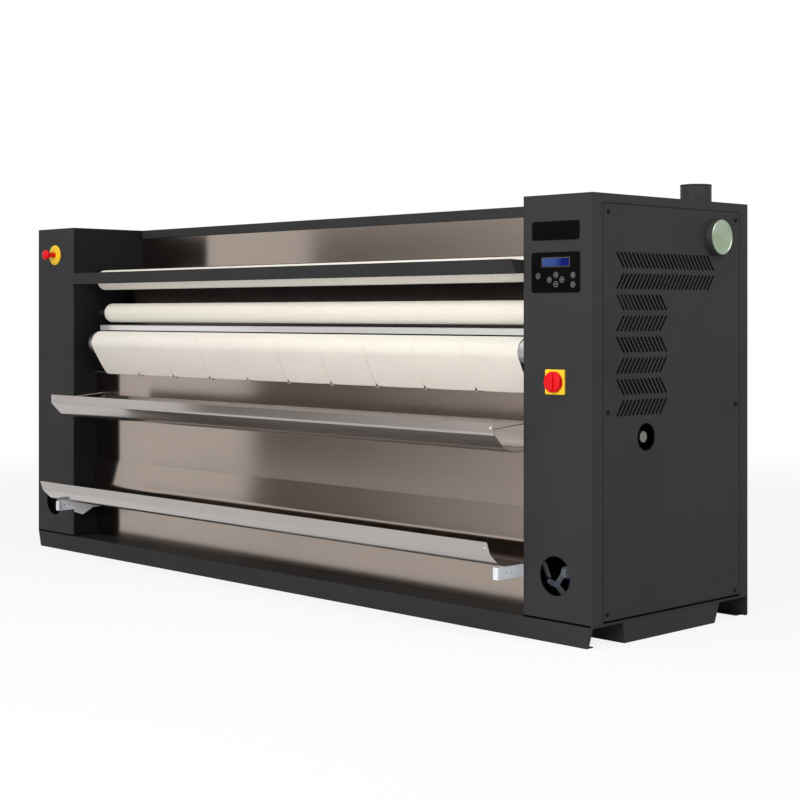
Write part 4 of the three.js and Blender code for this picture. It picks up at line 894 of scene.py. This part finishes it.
SHAFT_RADIUS = 12.5
SHAFT_ENDS = (OPENING_LEFT - 26, OPENING_RIGHT + 26)
FEED_FACE = (OPENING_LEFT + 60, OPENING_RIGHT - 50)
EXIT_FACE = (OPENING_LEFT + 67, OPENING_RIGHT - 55)
APRON_FACE = (OPENING_LEFT + 47, OPENING_RIGHT - 39)
END_ROUND = 2.0
ROLLER_WALL = 6
HUB_SET_IN = 6
SHAFT_LEFT = [
    (0, SHAFT_ENDS[0]), (SHAFT_RADIUS - 1, SHAFT_ENDS[0]), (SHAFT_RADIUS, SHAFT_ENDS[0] + 1)
]
SHAFT_RIGHT = [
    (SHAFT_RADIUS, SHAFT_ENDS[1] - 1), (SHAFT_RADIUS - 1, SHAFT_ENDS[1]), (0, SHAFT_ENDS[1])
]


def steel_roller(name, wheel, face, body):
    """Tube with rounded rims, set-in end discs and a through shaft."""
    y, z, radius = wheel
    x0, x1 = face
    rim = radius - END_ROUND
    wall = max(SHAFT_RADIUS + 1.0, radius - ROLLER_WALL)
    profile = [
        *SHAFT_LEFT, (SHAFT_RADIUS, x0 + HUB_SET_IN), (wall, x0 + HUB_SET_IN), (wall, x0),
        (rim, x0), (radius, x0 + END_ROUND), (radius, x1 - END_ROUND), (rim, x1), (wall, x1),
        (wall, x1 - HUB_SET_IN), (SHAFT_RADIUS, x1 - HUB_SET_IN), *SHAFT_RIGHT,
    ]
    tube = Shape().turned("X", (y, z), profile, ROLLER_SIDES)
    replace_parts(tube.piece(f"{name}_tube", STEEL, body, "steel"), name)


steel_roller("feed_roller", FEED_ROLLER, FEED_FACE, "feed_conveyor_roller")
steel_roller("feed_nip_roller", FEED_NIP_ROLLER, FEED_FACE, "feed_rear_roller")
steel_roller("apron_roller", APRON_ROLLER, APRON_FACE, "apron_drive_roller")
for node, wheel in BLANKET_ROLLERS.items():
    place = node.split("_")[1]
    steel_roller(node, wheel, FEED_FACE, f"blanket_roller_{place}")

PAD_ROUND, PAD_ROUND_STEPS = 16, 7
PAD_INSET, PAD_STATIONS = 3, 60
PAD_SWELL, PAD_SWELL_LENGTH, PAD_SWELL_TURNS = 0.35, 210, 2.2


def exit_roller():
    """Padded roller: cloth wound on a tube, with soft rounded ends, and its bare shaft."""
    y, z, radius = EXIT_ROLLER
    x0, x1 = EXIT_FACE
    places = [
        (x0 + PAD_ROUND * (1 - math.cos(turn)), radius - PAD_ROUND * (1 - math.sin(turn)))
        for turn in (math.pi / 2 * k / PAD_ROUND_STEPS for k in range(PAD_ROUND_STEPS + 1))
    ]
    straight = x1 - x0 - 2 * PAD_ROUND
    middle = [
        (x0 + PAD_ROUND + straight * k / PAD_STATIONS, radius) for k in range(1, PAD_STATIONS)
    ]
    ends = [(x0 + x1 - x, r) for x, r in reversed(places)]
    core = SHAFT_RADIUS + 0.5
    rings = []
    for x, r in [(x0 + PAD_INSET, core), *places, *middle, *ends, (x1 - PAD_INSET, core)]:
        ring = []
        for k in range(ROLLER_SIDES):
            turn = math.tau * k / ROLLER_SIDES
            across, up = PAD_SWELL_TURNS * math.cos(turn), PAD_SWELL_TURNS * math.sin(turn)
            swell = noise.noise(Vector((x / PAD_SWELL_LENGTH, across, up)))
            radius_here = r - PAD_SWELL + PAD_SWELL * swell if r > radius / 2 else r
            ring.append((x, y + radius_here * math.cos(turn), z + radius_here * math.sin(turn)))
        rings.append(ring)
    cloth = Shape().rings(rings).piece(
        "exit_roller_cloth", ROLLER_COTTON, "exit_cloth_roller", "cloth", sharp=50
    )
    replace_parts(cloth, "exit_roller")
    Shape().turned("X", (y, z), [*SHAFT_LEFT, *SHAFT_RIGHT]).piece(
        "exit_roller_shaft", STEEL, "exit_cloth_roller", "steel"
    )


exit_roller()

DRUM_FACE = (OPENING_LEFT + 72, OPENING_RIGHT - 72)
DRUM_WALL, DRUM_CHAMFER = 12, 3
JOURNAL_RADIUS, JOURNAL_BORE = 45, 28
JOURNAL_ENDS = (OPENING_LEFT - 54, OPENING_RIGHT + 54)


def drum():
    """Hollow heated drum with a journal at either end."""
    y, z, radius = CYLINDER
    (x0, x1), (xa, xb) = DRUM_FACE, JOURNAL_ENDS
    inside = radius - DRUM_WALL
    profile = [
        (JOURNAL_BORE, xa), (JOURNAL_RADIUS, xa), (JOURNAL_RADIUS, x0),
        (radius - DRUM_CHAMFER, x0), (radius, x0 + DRUM_CHAMFER), (radius, x1 - DRUM_CHAMFER),
        (radius - DRUM_CHAMFER, x1), (JOURNAL_RADIUS, x1),
        (JOURNAL_RADIUS, xb), (JOURNAL_BORE, xb), (JOURNAL_BORE, x1 - DRUM_WALL),
        (inside, x1 - DRUM_WALL), (inside, x0 + DRUM_WALL), (JOURNAL_BORE, x0 + DRUM_WALL),
    ]
    shell = Shape().turned("X", (y, z), profile, LARGE_SIDES, closed=True)
    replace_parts(shell.piece("ironing_drum", DRUM, "drum", "drum"), "heated_cylinder")


drum()

# ------------------------ trays, and painted shadow in the seams and panel gaps

TRAY_SHEET = 1.5
TRAY_X = (OPENING_LEFT + 41, OPENING_RIGHT - 4)
TRAY_BENDS = (6, 30, 30, 12)
TRAY_BACK_Y = 121.2
TRAY_BACK_START = 40
UPPER_TRAY = [(-139, 710), (-139, 674), (-76, 612), (30, 612), (TRAY_BACK_Y, 702)]
LOWER_TRAY = [(-172, 329), (-158, 290), (-108, 243), (30, 243), (105, 297), (TRAY_BACK_Y, 410)]


def tray(name, node, path, left, back):
    """Folded trough, whose rear part has the back material."""
    shape = Shape().folded(softened(path, TRAY_BENDS), -TRAY_SHEET, left, TRAY_X[1])
    made = shape.piece(name, TRAY_STEEL, FRAME, "stainless", sharp=30)
    made.data.materials.append(back)
    for face in made.data.polygons:
        face.material_index = int(face.center.y > at(0, TRAY_BACK_START, 0).y)
    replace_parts(made, node)


tray("upper_trough", "upper_tray", UPPER_TRAY, TRAY_X[0], TRAY_STEEL)
tray("lower_trough", "lower_tray", LOWER_TRAY, OPENING_LEFT + 4, PANEL_STEEL)

TRAY_SCREW_INSET, TRAY_SCREWS = 16, [(UPPER_TRAY[0][0], 694, 5), (-166, 310, 4)]
lip_screws = Shape()
for x in (TRAY_X[0] + TRAY_SCREW_INSET, TRAY_X[1] - TRAY_SCREW_INSET):
    for y, z, radius in TRAY_SCREWS:
        lip_screws.screw("Y", (x, y, z), radius, outwards=-1)
lip_screws.piece("lip_screws", SCREW_BRIGHT, FRAME, "steel")

SEAM_Z = 1000 * (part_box("base_front_beam")[1].z - FLOOR_CORNER.z)
SEAM_INSET = 8
LINE_PROUD = 0.3
(PANEL_FRONT, PANEL_LOW), (PANEL_REAR, PANEL_HIGH) = [
    1000 * (corner - FLOOR_CORNER).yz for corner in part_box("right_side_panel")
]
gap_shadows, gap_shade_strips = Shape(), Shape()
# Near-black strips along the base seam and along the side panels' lower edges are painted shadow
# in those gaps.
for x0, x1 in ((SEAM_INSET, OPENING_LEFT), (OPENING_RIGHT, WIDTH - SEAM_INSET)):
    gap_shadows.block((x0, -LINE_PROUD, SEAM_Z - 1), (x1, 1, SEAM_Z + 6))
for side in (0, WIDTH):
    x0, x1 = side - LINE_PROUD, side + LINE_PROUD
    gap_shadows.block((x0, PANEL_FRONT, PANEL_LOW - 4), (x1, PANEL_REAR, PANEL_LOW + 3))
    # Dark coat strips along the side panels' top, front and rear edges are painted shade in those
    # gaps.
    gap_shade_strips.block((x0, PANEL_FRONT, PANEL_HIGH - 1), (x1, PANEL_REAR, PANEL_HIGH + 1))
    for y in (PANEL_FRONT, PANEL_REAR):
        gap_shade_strips.block((x0, y - 1, PANEL_LOW), (x1, y + 1, PANEL_HIGH))
gap_shade_strips.piece("panel_gap_shade", DARK_COAT_AND_PAINTED_SHADE, FRAME, "coat")
gap_shadows.piece("cabinet_gap_shadows", GAP_SHADOW_AND_GROMMET_BLACK, FRAME, "black_plastic")

# ------------------------ controls

BRAND_PLATE = (CONTROL_X, 1333, 200, 61)
KEYPAD = (CONTROL_X, 1198, 204, 131)
PANEL_CORNER, PANEL_BEVEL = 9, 0.9
PANEL_THICK = 2.5
FACE_Y = -PANEL_THICK
PRINT_SUNK = 0.2
SCREEN_X, SCREEN_Z, SCREEN_WIDTH, SCREEN_HEIGHT = CONTROL_X + 2, 1231, 113, 25
SCREEN_BORDER = 7
KEYS = [(-73, 1187), (-25, 1174), (2.5, 1190), (28, 1174), (2.5, 1160), (74, 1188), (74, 1158)]
KEY_RADIUS = 9.5
KEY_RING, KEY_SIDES = 2.0, 40


def front_plate(name, place, corner, levels, bevel, material):
    """Rounded plate of (X, Z, width, height) between two Y levels of the right cabinet's face."""
    plate = Shape().prism("Y", rounded_rectangle(*place, corner), *levels, bevel)
    return plate.piece(name, material, FRAME, "black_plastic")


front_plate("bare_plate", BRAND_PLATE, PANEL_CORNER, (0, FACE_Y), PANEL_BEVEL, BLACK_PLASTIC)
keypad = front_plate("keypad_face", KEYPAD, PANEL_CORNER, (0, FACE_Y), PANEL_BEVEL, BLACK_PLASTIC)
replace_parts(keypad, "control_panel")
front_plate(
    "screen_frame",
    (SCREEN_X, SCREEN_Z, SCREEN_WIDTH + SCREEN_BORDER, SCREEN_HEIGHT + SCREEN_BORDER),
    3, (FACE_Y + PRINT_SUNK, FACE_Y - 0.4), 0.3, BLACK_RUBBER,
)
front_plate(
    "screen_glass", (SCREEN_X, SCREEN_Z, SCREEN_WIDTH, SCREEN_HEIGHT),
    1.5, (FACE_Y, FACE_Y - 0.6), 0.2, SCREEN_BLUE,
)

rings, glyphs = Shape(), Shape()
for x_offset, z in KEYS:
    outer, inner = KEY_RADIUS, KEY_RADIUS - KEY_RING
    rings.turned("Y", (CONTROL_X + x_offset, z), [
        (inner, FACE_Y + PRINT_SUNK), (outer, FACE_Y + PRINT_SUNK), (outer, FACE_Y - 0.2),
        (outer - 0.4, FACE_Y - 0.5), (inner + 0.4, FACE_Y - 0.5), (inner, FACE_Y - 0.2),
    ], KEY_SIDES, closed=True)


def glyph(key, *outlines):
    """Printed sign of a key; outlines are round the key's middle."""
    x, z = CONTROL_X + KEYS[key][0], KEYS[key][1]
    for outline in outlines:
        around = [(x + a, z + b) for a, b in outline]
        glyphs.prism("Y", around, FACE_Y + PRINT_SUNK, FACE_Y - 0.35)


BAR_ACROSS = [(-4, -0.9), (4, -0.9), (4, 0.9), (-4, 0.9)]
BAR_UP = [(-0.9, 0.9), (0.9, 0.9), (0.9, 4), (-0.9, 4)]
BAR_DOWN = [(-0.9, -4), (0.9, -4), (0.9, -0.9), (-0.9, -0.9)]
glyph(0, [(-2.6, 0.6), (2.6, 0.6), (0, 4.4)], [(-2.6, -0.6), (0, -4.4), (2.6, -0.6)])
glyph(1, [(2.4, -4), (2.4, 4), (-3.6, 0)])
glyph(2, BAR_ACROSS, BAR_UP, BAR_DOWN)
glyph(3, [(-2.4, -4), (3.6, 0), (-2.4, 4)])
glyph(4, BAR_ACROSS)
glyph(5, [(-3, -3), (3, -3), (3, 3), (-3, 3)])
glyph(6, [(-2.2, -4.2), (4.2, 0), (-2.2, 4.2)])
rings.piece("key_rings", INK_GREY, FRAME, "black_plastic")
glyphs.piece("key_marks", INK, FRAME, "black_plastic", sharp=10)

ESTOP = (140, 1331)


def emergency_stop():
    """Yellow collar with a raised ring, and the red mushroom head on its stem."""
    collar = Shape().turned("Y", ESTOP, [
        (11.5, 0), (45, 0), (45, -2.4), (44.4, -3.8), (43, -4.8), (24, -5), (23.2, -5.6),
        (22, -7.2), (17.5, -7.4), (16.5, -5.2), (11.5, -5),
    ], BUTTON_SIDES, closed=True).piece("stop_collar", YELLOW, FRAME, "safety_yellow")
    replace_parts(collar, "estop_collar")
    head = Shape().turned("Y", ESTOP, [
        (0, 12), (10.2, 12), (11, 11), (11, -36), (13, -39.5), (19.5, -42), (21.6, -44),
        (22, -46.5), (22, -50.5), (21.2, -54), (18.6, -57.2), (14, -59.2), (8, -59.9), (0, -60),
    ], BUTTON_SIDES)
    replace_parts(head.piece("stop_button", RED, "estop_head", "safety_red"), "estop_button")


emergency_stop()

ISOLATOR = (CONTROL_X, 844)
ISOLATOR_SIDE, ISOLATOR_THICK = 81, 6
KNOB_RADIUS, KNOB_SCALLOP, KNOB_SCALLOPS = 34, 1.6, 8
GRIP_WIDTH, GRIP_LENGTH = 15, 58


def isolator():
    """Yellow square plate, and the red rotary knob with its grip bar."""
    x, z = ISOLATOR
    square = rounded_rectangle(x, z, ISOLATOR_SIDE, ISOLATOR_SIDE, 4)
    plate = Shape().prism("Y", square, 0, -ISOLATOR_THICK, 1.6)
    plate = plate.piece("isolator_escutcheon", YELLOW, FRAME, "safety_yellow")
    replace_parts(plate, "isolator_plate")
    knob = Shape()
    rim = []
    for k in range(LARGE_SIDES):
        turn = math.tau * k / LARGE_SIDES
        radius = KNOB_RADIUS - KNOB_SCALLOP * max(0.0, math.cos(KNOB_SCALLOPS * turn)) ** 6
        rim.append((x + radius * math.cos(turn), z + radius * math.sin(turn)))
    knob.turned("Y", ISOLATOR, [(0, 12), (7, 12), (7, -7), (0, -7)], 32)
    knob.prism("Y", rim, -6.3, -22, 2.6)
    knob.prism("Y", rounded_rectangle(x, z, GRIP_WIDTH, GRIP_LENGTH, 5), -20, -30, 2.4)
    knob = knob.piece("isolator_handwheel", RED, "isolator_handle", "safety_red")
    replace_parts(knob, "isolator_knob")


isolator()

# ------------------------ right side: port, duct, screws

PORT = (669, 1328)
PORT_RADIUS = 61
PORT_PROUD, PORT_DEEP = 27, 27
PORT_FACE, PORT_DOME, PORT_DOME_HIGH = 54, 55, 1.4


def side_port():
    """Round housing with a bright rim round a mirror-like face."""
    front = WIDTH + PORT_PROUD
    wall = Shape().turned("X", PORT, [
        (PORT_RADIUS - 2, WIDTH - PORT_DEEP), (PORT_RADIUS, WIDTH - PORT_DEEP),
        (PORT_RADIUS, front - 5), (PORT_RADIUS - 1.2, front - 2.2),
        (PORT_RADIUS - 2, front - 2.2),
    ], LARGE_SIDES, closed=True).piece("port_wall", BLACK_RUBBER, FRAME, "black_plastic")
    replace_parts(wall, "side_port")
    outer, inner = PORT_RADIUS - 1.4, PORT_RADIUS - 7
    Shape().turned("X", PORT, [
        (inner, front - 3), (outer, front - 3), (outer, front - 1),
        (outer - 1.2, front), (inner + 2, front), (inner, front - 1.4),
    ], LARGE_SIDES, closed=True).piece("port_rim", PORT_MIRROR, FRAME, "stainless")
    dome = [
        (radius, front - 1.6 + PORT_DOME_HIGH * (1 - (radius / PORT_DOME) ** 2))
        for radius in range(PORT_FACE, -1, -6)
    ]
    Shape().turned("X", PORT, [(0, front - 3), (PORT_FACE, front - 3), *dome], LARGE_SIDES).piece(
        "port_face", PORT_MIRROR, FRAME, "stainless"
    )


side_port()

EXHAUST = (WIDTH - 148, 758)
DUCT_RISE, DUCT_DEEP = 72, 60
DUCT_RADIUS, DUCT_BORE = 55, 53


def exhaust():
    """Rolled duct stub with a hemmed rim, a lengthwise seam and a flange on the roof."""
    shape = Shape()
    top, hem = HEIGHT + DUCT_RISE, DUCT_RADIUS + 1
    shape.turned("Z", EXHAUST, [
        (DUCT_BORE, HEIGHT - DUCT_DEEP), (DUCT_RADIUS, HEIGHT - DUCT_DEEP),
        (DUCT_RADIUS, top - 5), (hem, top - 4), (hem, top - 1), (DUCT_RADIUS, top),
        (DUCT_BORE + 0.5, top), (DUCT_BORE, top - 1),
    ], LARGE_SIDES, closed=True)
    x, y = EXHAUST
    low, high = x - hem, x - DUCT_BORE
    seam = [(high, y - 9), (high, y + 9), (low, y + 8), (low, y - 8)]
    shape.prism("Z", seam, HEIGHT + 1, top - 6)
    shape.turned("Z", EXHAUST, [
        (55.2, HEIGHT), (63, HEIGHT), (63, HEIGHT + 1.6), (57, HEIGHT + 2), (55.6, HEIGHT + 3.4),
        (55.2, HEIGHT + 5),
    ], LARGE_SIDES, closed=True)
    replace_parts(shape.piece("duct_stub", COAT, FRAME, "coat"), "exhaust_stub")


exhaust()

# Turned-in ends of the base's skirt, behind its front corners.
RETURN_Y, RETURN_THICK = 161, 3
RETURN_NEAR, RETURN_FAR = 127.5, 168
returns = Shape()
for x0, x1 in ((RETURN_NEAR, RETURN_FAR), (WIDTH - RETURN_FAR, WIDTH - RETURN_NEAR)):
    returns.block((x0, RETURN_Y, 0.2), (x1, RETURN_Y + RETURN_THICK, SEAM_Z - 4))
returns.piece("skirt_returns", DARK_COAT_AND_PAINTED_SHADE, FRAME, "coat")

SIDE_SCREW_RADIUS, REAR_SCREW_RADIUS = 7.5, 5
SIDE_SCREWS = [(78, 1392), (785, 1391), (77, 748), (785, 750), (72, 103), (782, 99)]
REAR_SCREW_COLUMNS = (22, 300, 967, 1633, 2299, 2966, 3244)
REAR_SCREW_ROWS, REAR_SCREW_LOW, REAR_SCREW_PITCH = 4, 110, 433
screws = Shape()
for y, z in SIDE_SCREWS:
    screws.screw("X", (WIDTH, y, z), SIDE_SCREW_RADIUS)
    screws.screw("X", (0, y, z), SIDE_SCREW_RADIUS, outwards=-1)
for column in REAR_SCREW_COLUMNS:
    for row in range(REAR_SCREW_ROWS):
        height = REAR_SCREW_LOW + row * REAR_SCREW_PITCH
        screws.screw("Y", (column, DEPTH, height), REAR_SCREW_RADIUS)
screws.piece("panel_screws", DARK_COAT_AND_PAINTED_SHADE, FRAME, "steel")

CRANK = (276, 661)
CRANK_HOLE_RADIUS = 44
Shape().turned("X", CRANK, [
    (CRANK_HOLE_RADIUS - 2, WIDTH - 3), (CRANK_HOLE_RADIUS + 1.5, WIDTH - 0.1),
    (CRANK_HOLE_RADIUS + 1.5, WIDTH + 0.5), (CRANK_HOLE_RADIUS - 1, WIDTH + 0.8),
    (CRANK_HOLE_RADIUS - 2, WIDTH + 0.2),
], ROLLER_SIDES, closed=True).piece("crank_grommet", GAP_SHADOW_AND_GROMMET_BLACK, FRAME, "black_plastic")

LOUVRE_ROWS, LOUVRE_LONG_ROWS = 8, 2
LOUVRE_FIRST_Y, LOUVRE_LONG_END, LOUVRE_SHORT_END = 118, 660, 392
LOUVRE_TOP_Z, LOUVRE_ROW_PITCH = 1263, 68.4
LOUVRE_HEIGHT, LOUVRE_SLANT, LOUVRE_PITCH, LOUVRE_WIDTH = 50, 36, 20.6, 9
LOUVRE_LIP_WIDTH, LOUVRE_LIP_RISE, LOUVRE_LIP_STATIONS = 2.6, 1.3, 8


def louvre_lips():
    """Pressed lip along one long edge of every slot, thinner towards its ends."""
    shape = Shape()
    for row in range(LOUVRE_ROWS):
        top = LOUVRE_TOP_Z - row * LOUVRE_ROW_PITCH
        end = LOUVRE_LONG_END if row < LOUVRE_LONG_ROWS else LOUVRE_SHORT_END
        count = int((end - LOUVRE_FIRST_Y - LOUVRE_SLANT - LOUVRE_WIDTH) // LOUVRE_PITCH) + 1
        leans = 1 if row % 2 == 0 else -1
        for i in range(count):
            left = LOUVRE_FIRST_Y + i * LOUVRE_PITCH
            top_y = left if leans > 0 else left + LOUVRE_SLANT
            rings = []
            for k in range(LOUVRE_LIP_STATIONS + 1):
                share = k / LOUVRE_LIP_STATIONS
                y = top_y + leans * LOUVRE_SLANT * share + LOUVRE_WIDTH
                z = top - LOUVRE_HEIGHT * share
                bulge = math.sin(math.pi * (0.04 + 0.92 * share)) ** 0.5
                rise, wide = LOUVRE_LIP_RISE * bulge, LOUVRE_LIP_WIDTH * bulge
                rings.append([
                    (WIDTH - 1.5, y, z), (WIDTH + rise * 0.75, y - wide * 0.35, z),
                    (WIDTH + rise, y + wide * 0.2, z), (WIDTH - 0.2, y + wide, z),
                ])
            shape.rings(rings)
    shape.piece("louvre_lips", COAT, FRAME, "coat", sharp=60)


louvre_lips()
